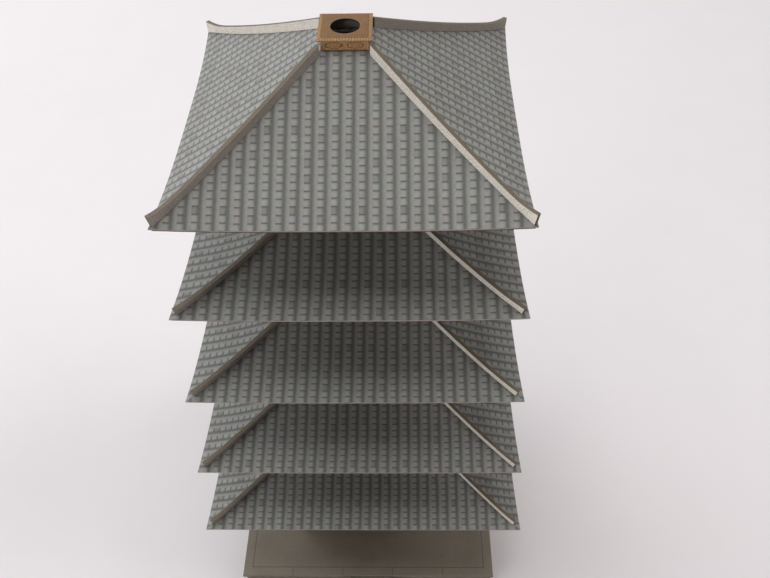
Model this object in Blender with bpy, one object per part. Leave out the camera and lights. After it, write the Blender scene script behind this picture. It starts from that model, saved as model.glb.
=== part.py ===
"""A printed-card model of a five-storey pagoda, built as the separate card parts that it is glued from.

Units are metres, +Z is up and the front faces -Y. The model stands on z = 0 with its centre at the origin.
Storeys are numbered from the ground: storey 1 stands on the podium, and roof 5 carries the dew basin.
"""
from math import cos, pi, sin, sqrt

import bmesh
import bpy

MM = 0.001

# Storeys, from the ground up. A corner level is where the four tips of a roof's eaves are.
STOREYS = (1, 2, 3, 4, 5)
PODIUM_TOP = 9.0 * MM
FIRST_CORNER_LEVEL = PODIUM_TOP + 53.7 * MM
CORNER_RISE = {2: 37.5 * MM, 3: 39.8 * MM, 4: 39.4 * MM, 5: 36.0 * MM}
ROOF_HALF = {1: 62.4 * MM, 2: 59.6 * MM, 3: 57.1 * MM, 4: 55.2 * MM, 5: 54.0 * MM}
WALL_HALF = {1: 31.0 * MM, 2: 28.4 * MM, 3: 25.8 * MM, 4: 23.2 * MM, 5: 20.6 * MM}

# Card and glue
CARD = 0.4 * MM
WALL_CARD = 0.6 * MM
GLUE_LINE = 0.12 * MM

# Roof slopes: rise above the middle of the eave is SLOPE_1 * run + SLOPE_2 * run squared
SLOPE_1 = {1: 0.155, 2: 0.155, 3: 0.17, 4: 0.17, 5: 0.575}
SLOPE_2 = {1: 4.9, 2: 4.9, 3: 4.9, 4: 4.9, 5: 0.93}
EAVE_BOW = 1.0 * MM

# Corner lift: a power of the share across, times a power of the reach out from the seat
CORNER_LIFT = 2.0 * MM
LIFT_POWER = 3
LIFT_FADE = {1: 1, 2: 1, 3: 1, 4: 1, 5: 3}

# Seat at the top of a roof
SEAT_MARGIN = 1.6 * MM
SEAT_LIP = 2.5 * MM
SIDE_STOPS = (-1.0, -0.8, -0.5, 0.0, 0.5, 0.8)
SLOPE_STEPS = {1: 4, 2: 4, 3: 4, 4: 4, 5: 6}

# Underside of the eaves, whose rafters rise gently from the edge to the purlin
EAVES_CARD = 0.5 * MM
EAVES_INSET = 0.8 * MM
EAVES_SLOPE_1 = 0.11
EAVES_SLOPE_2 = 3.5
EAVES_STEPS = 3

# Hip ridges: folded strips of box section
RIDGE_WIDTH = 1.4 * MM
RIDGE_HEIGHT = {1: 1.85 * MM, 2: 1.85 * MM, 3: 1.85 * MM, 4: 1.85 * MM, 5: 2.9 * MM}
RIDGE_TAPER = {1: 0.0 * MM, 2: 0.0 * MM, 3: 0.0 * MM, 4: 0.0 * MM, 5: 0.95 * MM}
RIDGE_START = {1: 0.12 * MM, 2: 0.12 * MM, 3: 0.12 * MM, 4: 0.12 * MM, 5: 0.6 * MM}
RIDGE_SHORT = {1: 2.5 * MM, 2: 2.5 * MM, 3: 2.5 * MM, 4: 2.0 * MM, 5: 0.8 * MM}
RIDGE_LEAN = 0.5 * MM
RIDGE_FLICK = {1: 0.5 * MM, 2: 0.5 * MM, 3: 0.5 * MM, 4: 0.5 * MM, 5: 1.7 * MM}
RIDGE_FLICK_RUN = 7.0 * MM
RIDGE_STEPS = 7
CORNERS = {"front_left": (-1, -1), "front_right": (1, -1), "back_right": (1, 1), "back_left": (-1, 1)}

# Brackets: three tiers that step out under a purlin
BRACKET_HEIGHT = {1: 12.5 * MM, 2: 10.5 * MM, 3: 10.5 * MM, 4: 10.5 * MM, 5: 10.5 * MM}
PURLIN_REACH = 7.2 * MM
PURLIN_HEIGHT = 1.2 * MM
TIER_REACH = (1.4 * MM, 3.4 * MM, 5.4 * MM)
BRACKET_INSIDE = 1.5 * MM

# Balconies of storeys 2 to 5
BALCONY_BASE_REACH = 1.4 * MM
BALCONY_BASE_HEIGHT = 3.2 * MM
BALCONY_REACH = 3.6 * MM
BALCONY_FLOOR = 0.6 * MM
RAIL_REACH = 3.1 * MM
RAIL_LEVELS = ((0.0 * MM, 0.9 * MM), (1.9 * MM, 2.4 * MM), (3.5 * MM, 4.1 * MM))
RAIL_THICKNESS = 0.6 * MM
POST_SIZE = 0.9 * MM
POST_HEIGHT = 4.6 * MM
BITE = 0.1 * MM

# Podium and steps
PODIUM_WALL_HALF = 54.2 * MM
PODIUM_BASE_HALF = 55.4 * MM
PODIUM_BASE_HEIGHT = 1.4 * MM
PODIUM_CAP_HALF = 55.95 * MM
PODIUM_CAP_HEIGHT = 1.6 * MM
STEP_COUNT = 5
STEP_RISE = PODIUM_TOP / (STEP_COUNT + 1)
STEP_RUN = 1.75 * MM
STEP_WIDTH = 17.0 * MM
CHEEK_WIDTH = 1.8 * MM
CHEEK_RISE = 0.5 * MM
STEP_SIDES = {"front": (0, -1), "right": (1, 0), "back": (0, 1), "left": (-1, 0)}

# Dew basin, the square box that would carry the spire
BASIN_SEAT_HALF = 7.3 * MM
BASIN_SEAT_LIP = 4.8 * MM
BASIN_HALF = 6.95 * MM
BASIN_CARD = 0.6 * MM
BASIN_LID_HALF = 8.0 * MM
BASIN_LID_HEIGHT = 0.6 * MM
BASIN_LID_EDGE = 0.2 * MM
BASIN_LID_SLOPE = 1.1 * MM
BASIN_TOP_ABOVE_CORNERS = 31.1 * MM
SPIRE_HOLE_RADIUS = 4.45 * MM
HOLE_SIDES = 32

# Finishes
ROOF_GREY = (0.27, 0.29, 0.28)
RIDGE_BROWN = (0.30, 0.27, 0.21)
TIMBER = (0.10, 0.055, 0.032)
PLASTER = (0.62, 0.57, 0.48)
STONE = (0.20, 0.175, 0.15)
BRONZE_CARD = (0.29, 0.17, 0.07)
CARD_ROUGHNESS = 0.75


def clear_scene():
    for obj in list(bpy.data.objects):
        bpy.data.objects.remove(obj, do_unlink=True)


def make_material(name, colour):
    material = bpy.data.materials.new(name)
    material.use_nodes = True
    shader = material.node_tree.nodes["Principled BSDF"]
    shader.inputs["Base Color"].default_value = (*colour, 1.0)
    shader.inputs["Roughness"].default_value = CARD_ROUGHNESS
    shader.inputs["Metallic"].default_value = 0.0
    material.diffuse_color = (*colour, 1.0)
    return material


def add_object(name, verts, faces, material):
    """A mesh object whose faces are turned to point outwards."""
    mesh = bpy.data.meshes.new(name)
    mesh.from_pydata(verts, [], faces)
    shape = bmesh.new()
    shape.from_mesh(mesh)
    bmesh.ops.recalc_face_normals(shape, faces=shape.faces)
    shape.to_mesh(mesh)
    shape.free()
    mesh.materials.append(material)
    obj = bpy.data.objects.new(name, mesh)
    bpy.context.collection.objects.link(obj)
    return obj


def skin(loops, closed):
    """Vertices and faces of a body skinned over loops of equal length.

    A closed body is a ring, whose last loop meets its first. An open one is capped at both ends.
    """
    count = len(loops[0])
    verts = [point for loop in loops for point in loop]
    faces = []
    spans = len(loops) if closed else len(loops) - 1
    for row in range(spans):
        upper = ((row + 1) % len(loops)) * count
        lower = row * count
        for col in range(count):
            step = (col + 1) % count
            faces.append((lower + col, lower + step, upper + step, upper + col))
    if not closed:
        faces.append(tuple(range(count)))
        faces.append(tuple((len(loops) - 1) * count + col for col in range(count)))
    return verts, faces


def square(half, level):
    return [(-half, -half, level), (half, -half, level), (half, half, level), (-half, half, level)]


def square_ring(profile):
    """A closed outline of (half width, level) points carried round a square."""
    return skin([square(half, level) for half, level in profile], closed=True)


def block(low, high):
    """A rectangular block between two opposite corners."""
    outline = [(low[0], low[1]), (high[0], low[1]), (high[0], high[1]), (low[0], high[1])]
    return skin([[(x, y, z) for x, y in outline] for z in (low[2], high[2])], closed=False)


def fuse(name, parts, material):
    """One solid made by uniting parts that overlap."""
    body = add_object(name, *parts[0], material)
    verts = []
    faces = []
    for part_verts, part_faces in parts[1:]:
        start = len(verts)
        verts += part_verts
        faces += [tuple(start + index for index in face) for face in part_faces]
    others = add_object(name + "_others", verts, faces, material)
    union = body.modifiers.new("union", "BOOLEAN")
    union.operation = "UNION"
    union.solver = "EXACT"
    union.use_self = True
    union.object = others
    bpy.context.view_layer.update()
    graph = bpy.context.evaluated_depsgraph_get()
    united = bpy.data.meshes.new_from_object(body.evaluated_get(graph))
    body.modifiers.remove(union)
    body.data = united
    bpy.data.objects.remove(others, do_unlink=True)
    return body


def corner_level(storey):
    level = FIRST_CORNER_LEVEL
    for above in range(2, storey + 1):
        level += CORNER_RISE[above]
    return level


def seat_half(storey):
    """Half width of the flat seat at the top of a roof, where its slopes end."""
    if storey == STOREYS[-1]:
        return BASIN_SEAT_HALF
    return WALL_HALF[storey + 1] + SEAT_MARGIN


def seat_opening(storey):
    if storey == STOREYS[-1]:
        return BASIN_SEAT_LIP
    return WALL_HALF[storey + 1] - SEAT_LIP


def reach_out(storey, half):
    """0 at the top of a roof's slope, and 1 at its eave."""
    return (half - seat_half(storey)) / (ROOF_HALF[storey] - seat_half(storey))


def curve_level(storey, half, across, slope_1, slope_2):
    """Level of a sheet that rises inwards from the eave, with corners whose lift fades inwards."""
    run = ROOF_HALF[storey] - half
    middle = corner_level(storey) - CORNER_LIFT + slope_1 * run + slope_2 * run * run
    lift = CORNER_LIFT * reach_out(storey, half) ** LIFT_FADE[storey]
    return middle + lift * abs(across) ** LIFT_POWER


def slope_level(storey, half, across):
    """Level of a roof's top face at half from the centre, and across from -1 to 1 between its hips."""
    return curve_level(storey, half, across, SLOPE_1[storey], SLOPE_2[storey])


def seat_level(storey):
    return slope_level(storey, seat_half(storey), 0.0)


def bowed(storey, half, across, level):
    """A point on the front side, drawn in between the hips by the bow of the eave."""
    inset = EAVE_BOW * (1.0 - abs(across) ** LIFT_POWER) * reach_out(storey, half) ** 2
    return across * half, inset - half, level


def roof_point(storey, half, across, drop):
    return bowed(storey, half, across, slope_level(storey, half, across) - drop)


def four_sides(front_points):
    """A loop round all four sides, from the points of the front one."""
    loop = []
    for turn in range(4):
        c, s = round(cos(turn * pi / 2)), round(sin(turn * pi / 2))
        loop += [(x * c - y * s, x * s + y * c, z) for x, y, z in front_points]
    return loop


def make_roof(storey, material):
    """A card sheet with four curved slopes, and a flat lip round its opening that is the seat above."""
    start, end, steps = seat_half(storey), ROOF_HALF[storey], SLOPE_STEPS[storey]
    halves = [end + (start - end) * step / steps for step in range(steps + 1)]
    top = [four_sides([roof_point(storey, half, u, 0.0) for u in SIDE_STOPS]) for half in halves]
    under = [four_sides([roof_point(storey, half, u, CARD) for u in SIDE_STOPS]) for half in halves]
    lip, level = seat_opening(storey), seat_level(storey)
    lip_top = four_sides([(lip * u, -lip, level) for u in SIDE_STOPS])
    lip_under = four_sides([(lip * u, -lip, level - CARD) for u in SIDE_STOPS])
    loops = top + [lip_top, lip_under] + under[::-1]
    return add_object("roof_%d" % storey, *skin(loops, closed=True), material)


def purlin_half(storey):
    return WALL_HALF[storey] + PURLIN_REACH


def eaves_point(storey, half, across, lift):
    """A point of the eaves' underside, or of its top face where lift is the sheet's thickness."""
    level = curve_level(storey, half, across, EAVES_SLOPE_1, EAVES_SLOPE_2)
    return bowed(storey, half, across, level - CARD - GLUE_LINE - EAVES_CARD + lift)


def purlin_top(storey):
    return eaves_point(storey, purlin_half(storey), 0.0, 0.0)[2] - GLUE_LINE


def make_eaves(storey, material):
    """The rafter sheet under a roof, from inside its edge to the purlin, with a flat lip over the brackets."""
    inner, outer = purlin_half(storey), ROOF_HALF[storey] - EAVES_INSET
    halves = [outer + (inner - outer) * step / EAVES_STEPS for step in range(EAVES_STEPS + 1)]
    under = [four_sides([eaves_point(storey, half, u, 0.0) for u in SIDE_STOPS]) for half in halves]
    top = [four_sides([eaves_point(storey, half, u, EAVES_CARD) for u in SIDE_STOPS]) for half in halves]
    lip = WALL_HALF[storey]
    level = purlin_top(storey) + GLUE_LINE
    lip_under = four_sides([(lip * u, -lip, level) for u in SIDE_STOPS])
    lip_top = four_sides([(lip * u, -lip, level + EAVES_CARD) for u in SIDE_STOPS])
    loops = top + [lip_top, lip_under] + under[::-1]
    return add_object("eaves_%d" % storey, *skin(loops, closed=True), material)


def ridge_end(storey):
    return ROOF_HALF[storey] - RIDGE_SHORT[storey]


def make_ridge(storey, corner, material):
    """A folded strip that sits astride one hip: its foot follows both slopes, and its tail flicks up."""
    side_x, side_y = CORNERS[corner]
    start, end = seat_half(storey) + RIDGE_START[storey], ridge_end(storey)
    off = RIDGE_WIDTH / 2 / sqrt(2)
    loops = []
    for step in range(RIDGE_STEPS + 1):
        share = step / RIDGE_STEPS
        half = start + (end - start) * share
        foot = slope_level(storey, half, 1.0) + GLUE_LINE
        edge_half = min(half + off, ROOF_HALF[storey])
        edge = slope_level(storey, edge_half, 1.0) + GLUE_LINE
        flick = RIDGE_FLICK[storey] * max(0.0, 1.0 - (end - half) / RIDGE_FLICK_RUN) ** 2
        crest = foot + RIDGE_HEIGHT[storey] - RIDGE_TAPER[storey] * share + flick
        lean = RIDGE_LEAN * share
        section = [(half, 0.0, foot), (half, off, edge), (half + lean, off, crest),
                   (half + lean, -off, crest), (half, -off, edge)]
        loops.append([(side_x * (h + a), side_y * (h - a), z) for h, a, z in section])
    return add_object("ridge_%d_%s" % (storey, corner), *skin(loops, closed=False), material)


def bracket_foot(storey):
    return purlin_top(storey) - BRACKET_HEIGHT[storey]


def make_brackets(storey, material):
    """Three tiers of brackets that step out from the wall head, and the purlin on them."""
    wall, foot, head = WALL_HALF[storey], bracket_foot(storey), purlin_top(storey)
    tier = (BRACKET_HEIGHT[storey] - PURLIN_HEIGHT) / len(TIER_REACH)
    inside = wall - BRACKET_INSIDE
    profile = [(inside, foot)]
    for index, reach in enumerate(TIER_REACH):
        profile += [(wall + reach, foot + index * tier), (wall + reach, foot + (index + 1) * tier)]
    profile += [(purlin_half(storey), head - PURLIN_HEIGHT), (purlin_half(storey), head), (inside, head)]
    return add_object("brackets_%d" % storey, *square_ring(profile), material)


def make_walls(storey, material):
    """The storey's card tube, open above and below."""
    foot = PODIUM_TOP if storey == 1 else seat_level(storey - 1)
    low, high = foot + GLUE_LINE, bracket_foot(storey) - GLUE_LINE
    outer = WALL_HALF[storey]
    inner = outer - WALL_CARD
    profile = [(inner, low), (outer, low), (outer, high), (inner, high)]
    return add_object("walls_%d" % storey, *square_ring(profile), material)


def make_balcony(storey, material):
    """A skirt round the storey's foot, the floor on it, and a railing of posts and three rails."""
    wall = WALL_HALF[storey] + GLUE_LINE
    low = seat_level(storey - 1) + GLUE_LINE
    floor = low + BALCONY_BASE_HEIGHT
    deck = floor + BALCONY_FLOOR
    skirt = WALL_HALF[storey] + BALCONY_BASE_REACH
    edge = WALL_HALF[storey] + BALCONY_REACH
    body = square_ring([(wall, low), (skirt, low), (skirt, floor), (edge, floor), (edge, deck), (wall, deck)])
    parts = [body]
    rail = WALL_HALF[storey] + RAIL_REACH
    inner, outer = rail - RAIL_THICKNESS / 2, rail + RAIL_THICKNESS / 2
    for bottom, top in RAIL_LEVELS:
        z0 = deck - BITE if bottom == 0.0 else deck + bottom
        z1 = deck + top
        parts.append(square_ring([(inner, z0), (outer, z0), (outer, z1), (inner, z1)]))
    size = POST_SIZE / 2
    for turn in range(4):
        c, s = round(cos(turn * pi / 2)), round(sin(turn * pi / 2))
        for share in (-1.0, -1.0 / 3.0, 1.0 / 3.0):
            x, y = share * rail, -rail
            px, py = x * c - y * s, x * s + y * c
            parts.append(block((px - size, py - size, deck - BITE), (px + size, py + size, deck + POST_HEIGHT)))
    return fuse("balcony_%d" % storey, parts, material)


def make_podium_body(material):
    """A base course, and the wall that stands back from it."""
    top = PODIUM_TOP - PODIUM_CAP_HEIGHT - GLUE_LINE
    loops = [square(PODIUM_BASE_HALF, 0.0), square(PODIUM_BASE_HALF, PODIUM_BASE_HEIGHT),
             square(PODIUM_WALL_HALF, PODIUM_BASE_HEIGHT), square(PODIUM_WALL_HALF, top)]
    return add_object("podium_body", *skin(loops, closed=False), material)


def make_podium_cap(material):
    low = PODIUM_TOP - PODIUM_CAP_HEIGHT
    loops = [square(PODIUM_CAP_HALF, low), square(PODIUM_CAP_HALF, PODIUM_TOP)]
    return add_object("podium_cap", *skin(loops, closed=False), material)


def make_steps(side, material):
    """A flight against the podium: treads between two sloping cheeks."""
    face_x, face_y = STEP_SIDES[side]
    back = PODIUM_CAP_HALF + GLUE_LINE
    front = back + STEP_COUNT * STEP_RUN
    top = STEP_COUNT * STEP_RISE
    treads = [(back, 0.0), (front, 0.0)]
    for step in range(STEP_COUNT):
        edge = front - step * STEP_RUN
        level = (step + 1) * STEP_RISE
        treads.append((edge, level))
        if step < STEP_COUNT - 1:
            treads.append((edge - STEP_RUN, level))
    treads.append((back, top))
    cheek = [(back, 0.0), (front + CHEEK_RISE, 0.0), (front + CHEEK_RISE, STEP_RISE),
             (back + STEP_RUN, top + CHEEK_RISE), (back, top + CHEEK_RISE)]

    def prism(outline, left, right):
        loops = []
        for along in (left, right):
            loops.append([(face_x * out - face_y * along, face_y * out + face_x * along, z) for out, z in outline])
        return skin(loops, closed=False)

    half = STEP_WIDTH / 2
    parts = [prism(treads, -half, half)]
    parts.append(prism(cheek, half - BITE, half + CHEEK_WIDTH))
    parts.append(prism(cheek, -half - CHEEK_WIDTH, -half + BITE))
    return fuse("steps_" + side, parts, material)


def hole_loop(radius, level):
    return [(radius * cos(2 * pi * k / HOLE_SIDES), radius * sin(2 * pi * k / HOLE_SIDES), level)
            for k in range(HOLE_SIDES)]


def square_loop(half, level):
    """A square with as many points as the hole, at the same bearings."""
    loop = []
    for x, y, z in hole_loop(1.0, level):
        scale = half / max(abs(x), abs(y))
        loop.append((x * scale, y * scale, z))
    return loop


def basin_top():
    return corner_level(STOREYS[-1]) + BASIN_TOP_ABOVE_CORNERS


def make_basin_body(material):
    low = seat_level(STOREYS[-1]) + GLUE_LINE
    high = basin_top() - BASIN_LID_HEIGHT - GLUE_LINE
    inner = BASIN_HALF - BASIN_CARD
    profile = [(inner, low), (BASIN_HALF, low), (BASIN_HALF, high), (inner, high)]
    return add_object("dew_basin_body", *square_ring(profile), material)


def make_basin_lid(material):
    """A square lid with a sloping edge, and the round hole that takes the foot of the spire."""
    low, high = basin_top() - BASIN_LID_HEIGHT, basin_top()
    loops = [square_loop(BASIN_LID_HALF, low), square_loop(BASIN_LID_HALF, low + BASIN_LID_EDGE),
             square_loop(BASIN_LID_HALF - BASIN_LID_SLOPE, high),
             hole_loop(SPIRE_HOLE_RADIUS, high), hole_loop(SPIRE_HOLE_RADIUS, low)]
    return add_object("dew_basin_lid", *skin(loops, closed=True), material)


def main():
    clear_scene()
    tiles = make_material("roof_tile_print", ROOF_GREY)
    ridges = make_material("ridge_card", RIDGE_BROWN)
    timber = make_material("timber_print", TIMBER)
    plaster = make_material("wall_print", PLASTER)
    stone = make_material("stone_print", STONE)
    bronze = make_material("bronze_print", BRONZE_CARD)
    make_podium_body(stone)
    make_podium_cap(stone)
    for side in STEP_SIDES:
        make_steps(side, stone)
    for storey in STOREYS:
        make_walls(storey, plaster)
        make_brackets(storey, timber)
        make_eaves(storey, timber)
        make_roof(storey, tiles)
        for corner in CORNERS:
            make_ridge(storey, corner, ridges)
        if storey > 1:
            make_balcony(storey, timber)
    make_basin_body(bronze)
    make_basin_lid(bronze)


main()
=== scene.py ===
"""Looks of a printed-card model of a five-storey pagoda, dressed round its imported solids.

The tower's axis is Z and its front faces -Y. Lengths are metres, and print coordinates are millimetres on the
printed sheet. Every new surface is a formula on a grid of points, worked out as whole arrays.
"""
from functools import partial
from math import cos, pi, radians, sin, sqrt
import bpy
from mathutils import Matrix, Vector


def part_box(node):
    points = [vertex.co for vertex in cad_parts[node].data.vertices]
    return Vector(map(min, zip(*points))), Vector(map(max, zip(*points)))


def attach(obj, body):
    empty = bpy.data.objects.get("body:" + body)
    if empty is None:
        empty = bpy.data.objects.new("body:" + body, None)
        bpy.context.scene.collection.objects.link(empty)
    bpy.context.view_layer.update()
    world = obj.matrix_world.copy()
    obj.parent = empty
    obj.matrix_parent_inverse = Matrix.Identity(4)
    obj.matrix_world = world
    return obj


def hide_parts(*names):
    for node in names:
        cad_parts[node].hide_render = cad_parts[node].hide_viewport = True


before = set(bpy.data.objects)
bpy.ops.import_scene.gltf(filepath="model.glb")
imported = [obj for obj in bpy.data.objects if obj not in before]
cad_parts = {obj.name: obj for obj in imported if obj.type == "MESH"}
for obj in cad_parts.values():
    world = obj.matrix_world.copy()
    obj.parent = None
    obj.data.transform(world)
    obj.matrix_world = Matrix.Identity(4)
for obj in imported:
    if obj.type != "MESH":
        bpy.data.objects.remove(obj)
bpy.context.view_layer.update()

from types import SimpleNamespace

import bpy
import numpy as np
from bpy.props import FloatProperty, FloatVectorProperty, PointerProperty
from mathutils import Matrix, Vector

bl_info = {
    "name": "Card pagoda",
    "version": (1, 0, 0),
    "blender": (4, 5, 0),
    "location": "3D View > Sidebar > Pagoda",
    "description": "Dresses the solids of a card pagoda with its folded strips, timber relief and prints",
    "category": "Object",
}

MM = 0.001
PRINT = "print"
STOREYS = (1, 2, 3, 4, 5)
GROUND_STOREY, TOP_STOREY = STOREYS[0], STOREYS[-1]
CORNERS = {"front_left": (-1, -1), "front_right": (1, -1), "back_right": (1, 1), "back_left": (-1, 1)}
QUARTER_TURNS = ((1, 0), (0, 1), (-1, 0), (0, -1))


def by_storey(size, own):
    """A size for each storey, of which some have their own."""
    return {number: own.get(number, size) for number in STOREYS}


# Card and glue, and how far a piece of relief reaches into what carries it
CARD = 0.4 * MM
GLUE_LINE = 0.12 * MM
BITE = 0.1 * MM

# Roof sheets: rise above the middle of the eave is slope_1 * run + slope_2 * run squared
SLOPE_1 = by_storey(0.155, {3: 0.17, 4: 0.17, TOP_STOREY: 0.575})
SLOPE_2 = by_storey(4.9, {TOP_STOREY: 0.93})
EAVES_SLOPE_1 = 0.11
EAVES_SLOPE_2 = 3.5
EAVES_CARD = 0.5 * MM
EAVES_INSET = 0.8 * MM
CORNER_LIFT = 2.0 * MM
LIFT_FADE = by_storey(1, {TOP_STOREY: 3})
EAVE_BOW = 1.0 * MM
SEAT_MARGIN = 1.6 * MM
SEAT_LIP = 2.5 * MM
BASIN_SEAT_HALF = 7.3 * MM
BASIN_SEAT_LIP = 4.8 * MM

# Hip ridges
RIDGE_WIDTH = 1.4 * MM
RIDGE_HEIGHT = by_storey(1.85 * MM, {TOP_STOREY: 2.9 * MM})
RIDGE_TAPER = by_storey(0.0, {TOP_STOREY: 0.95 * MM})
RIDGE_START = by_storey(0.12 * MM, {TOP_STOREY: 0.6 * MM})
RIDGE_SHORT = by_storey(2.5 * MM, {4: 2.0 * MM, TOP_STOREY: 0.8 * MM})
RIDGE_LEAN = 0.5 * MM
RIDGE_FLICK = by_storey(0.5 * MM, {TOP_STOREY: 1.7 * MM})
RIDGE_FLICK_RUN = 7.0 * MM

# Dew basin
BASIN_CARD = 0.6 * MM
LID_EDGE = 0.2 * MM
LID_SLOPE = 1.1 * MM
BEAD_PITCH = 0.84 * MM
SPIRE_HOLE_RADIUS = 4.45 * MM
HOLE_RIM = 0.05 * MM

# Podium and steps
KERB_WIDTH = 4.0 * MM
KERB_STONES = 5
PODIUM_WALL_HALF = 54.2 * MM
PODIUM_BASE_HEIGHT = 1.4 * MM
PODIUM_FOLD = 0.15 * MM
PILLAR_HALF = 1.2 * MM
CORNER_PILLAR = 2.0 * MM
PILLAR_RELIEF = 0.4 * MM
COLUMN_BASE_SHARE = 1.5
COLUMN_BASE_EDGE = 0.25 * MM
COLUMN_BASE_HEIGHT = 0.4 * MM
STEP_COUNT = 5
TREAD_NOSING_BACK = 0.6 * MM
TREAD_NOSING_REACH = 0.12 * MM
TREAD_NOSING_DEPTH = 0.4 * MM
TREAD_NOSING_RISE = 0.06 * MM
CHEEK_WIDTH = 1.8 * MM
CHEEK_RISE = 0.5 * MM
CHEEK_TOP_SHARE = 1 / 32
CHEEK_CAP = 0.22 * MM
CHEEK_CAP_HALF = CHEEK_WIDTH / 2 * 1.12

# Walls: the door bay's half width is a share of the wall's, and the beams' levels are shares of its height
BAY = 0.36
SILL_SHARE = by_storey(0.3, {GROUND_STOREY: 0.4})
LINTEL_SHARE = 0.8
COLUMN_SHARE = by_storey(0.8, {GROUND_STOREY: 1.0})
COLUMN_TAPER = 0.9
TAPER_START = 0.6
COLUMN_INSET = 0.2 * MM
BEAM_HEIGHT = by_storey(1.1 * MM, {GROUND_STOREY: 1.5 * MM})
PLATE_HEIGHT = 0.5 * MM
PLATE_REACH = 0.25 * MM
TIE_HEIGHT = 1.4 * MM
TIE_RELIEF = 0.4 * MM
NOSING_HALF = 0.9 * MM

# Doors: rails are shares of the height, jambs of the bay's half width, and stiles of a leaf's width
DOOR_RAILS = (0.0, 0.22, 0.3, 0.62, 0.7, 0.96)
RAIL_SHARE = 0.04
JAMB_SHARE = 0.07
STILE_SHARE = 0.055
DOOR_GAP = 0.04 * MM
JAMB_RELIEF = 0.85 * MM
STILE_RELIEF = 0.5 * MM
RAIL_RELIEF = 0.44 * MM
BOARD_RELIEF = 0.25 * MM

# Lattice windows: the margin is a share of the bay's width, and half a bar is one of the bars' pitch
WINDOW_MARGIN = 0.12
WINDOW_FRAME = 0.8 * MM
WINDOW_RAIL_RELIEF = 0.75 * MM
WINDOW_GROUND_RELIEF = 0.08 * MM
BAR_SHARE = 0.28
BAR_RELIEF = 0.5 * MM

# Brackets: levels and heights without a unit are in tiers. Beams are given by their step, 0 at the wall, and
# by their bottom and top. BETWEEN names the struts between the columns' sets, and the blocks on them
BRACKET_STEPS = (1.9 * MM, 3.9 * MM, 6.6 * MM)
BRACKET_BEAMS = ((0, 1.2, 1.5), (0, 2.02, 2.45), (0, 2.75, 3.2), (1, 2.02, 2.4), (2, 2.85, 3.2))
BRACKET_BEAM_HALF = 0.4 * MM
ARM_FEET = (0.3, 1.16, 2.02)
ARM_HEIGHT = 0.56
BLOCK_HEIGHT = 0.3
ARM_REST = 0.86 * MM
ARM_BACK = 1.0 * MM
ARM_HALF = 0.5 * MM
ARM_CURL = 1.3 * MM
SHORT_ARM = 3.1 * MM
LONG_ARM = 4.5 * MM
TAIL_RAFTER_DEPTH = 1.2 * MM
TAIL_RAFTER_REACH = 1.5 * MM
TAIL_RAFTER_ENDS = (3.15, 2.4)
STEP_BLOCK_HALF = 0.8 * MM
ARM_BLOCK_HALF = 0.7 * MM
COLUMN_BLOCK_HALF = 1.5 * MM
BRACKET_WALL = (-0.7 * MM, -0.1 * MM)
BETWEEN_HALF = 0.45 * MM
BETWEEN_RELIEF = 0.4 * MM
BETWEEN_TOP = 0.9
BETWEEN_BLOCK_HALF = 0.75 * MM
BETWEEN_BLOCK_FOOT = 0.86
BETWEEN_BLOCK_HEIGHT = 0.34
PURLIN_HEIGHT = 1.2 * MM
CEILING_FOOT = 3.2
CEILING_BOARD = 0.2 * MM
BATTEN_PITCH = 1.3 * MM
BATTEN_HALF = 0.16 * MM
BATTEN_DEPTH = 0.22 * MM
RIB_FOOT = 3.1
RIB_HALF = 0.2 * MM
RIB_DEPTH = 0.5 * MM

# Eaves: the boards' inner and outer ends are measured from the ends of the rafters
BASE_RAFTER_DEPTH = 1.0 * MM
FLYING_RAFTER_DEPTH = 0.65 * MM
FLYING_RAFTER_SHARE = 0.56
FLYING_RAFTER_WIDTH = 0.86
HIP_RAFTER_DEPTH = 1.7 * MM
RAFTER_START = 1.5 * MM
RAFTER_INSET = 0.3 * MM
HIP_RAFTER_INSET = 2.0 * MM
MIDDLE_BOARD = (-0.5 * MM, 0.25 * MM)
MIDDLE_BOARD_DEPTH = 0.75 * BASE_RAFTER_DEPTH
EDGE_BOARD = (-0.7 * MM, 0.1 * MM)
EDGE_BOARD_DEPTH = 0.3 * MM

# Balconies: lower rails are given by half their width, and by their bottom and top above the deck
DECK_RISE = 3.8 * MM
DECK_CARD = 0.6 * MM
BALCONY_REACH = 3.6 * MM
RAIL_REACH = 3.1 * MM
TOP_RAIL_RISE = 3.85 * MM
TOP_RAIL_RADIUS = 0.34 * MM
TOP_RAIL_REACH = 1.4 * MM
TOP_RAIL_LIFT = 0.5 * MM
LOWER_RAILS = ((0.33 * MM, 0.0, 0.85 * MM), (0.24 * MM, 1.95 * MM, 2.4 * MM))
POST_HALF = 0.42 * MM
POST_HEIGHT = 3.7 * MM
POST_CAP_TOP = 4.15 * MM
POST_CAP_HALF = 0.5 * MM
POST_CAP_HEIGHT = 0.45 * MM
STRUT_HALF = 0.2 * MM
STRUT_FOOT = 0.8 * MM
STRUT_TOP = 3.6 * MM
SKIRT_REACH = 1.3 * MM
SKIRTING_REACH = 1.5 * MM
SKIRTING_HEIGHT = 0.5 * MM
BOARD_GAP = 0.1 * MM
DECK_BEAMS = ((2.3 * MM, 3.1 * MM), (1.0 * MM, 1.6 * MM))
DECK_BEAM_DEPTH = 0.6 * MM
DECK_ARM_COUNT = 10
DECK_ARM_START = 1.0 * MM
DECK_ARM_END = 3.2 * MM
DECK_ARM_DROP = 1.5 * MM
DECK_ARM_HEIGHT = 1.0 * MM
DECK_ARM_HALF = 0.4 * MM
DECK_ARM_CURL = 0.9 * MM
MITRE_HALF = 0.4 * MM

# Stage: the photograph's width in pixels, the camera's film width, and half the floor
PHOTO_WIDTH = 770
FILM_WIDTH = 36.0
FLOOR_HALF = 3.0
LIGHTS_AIM = Vector((0.0, 0.0, 0.1))

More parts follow.
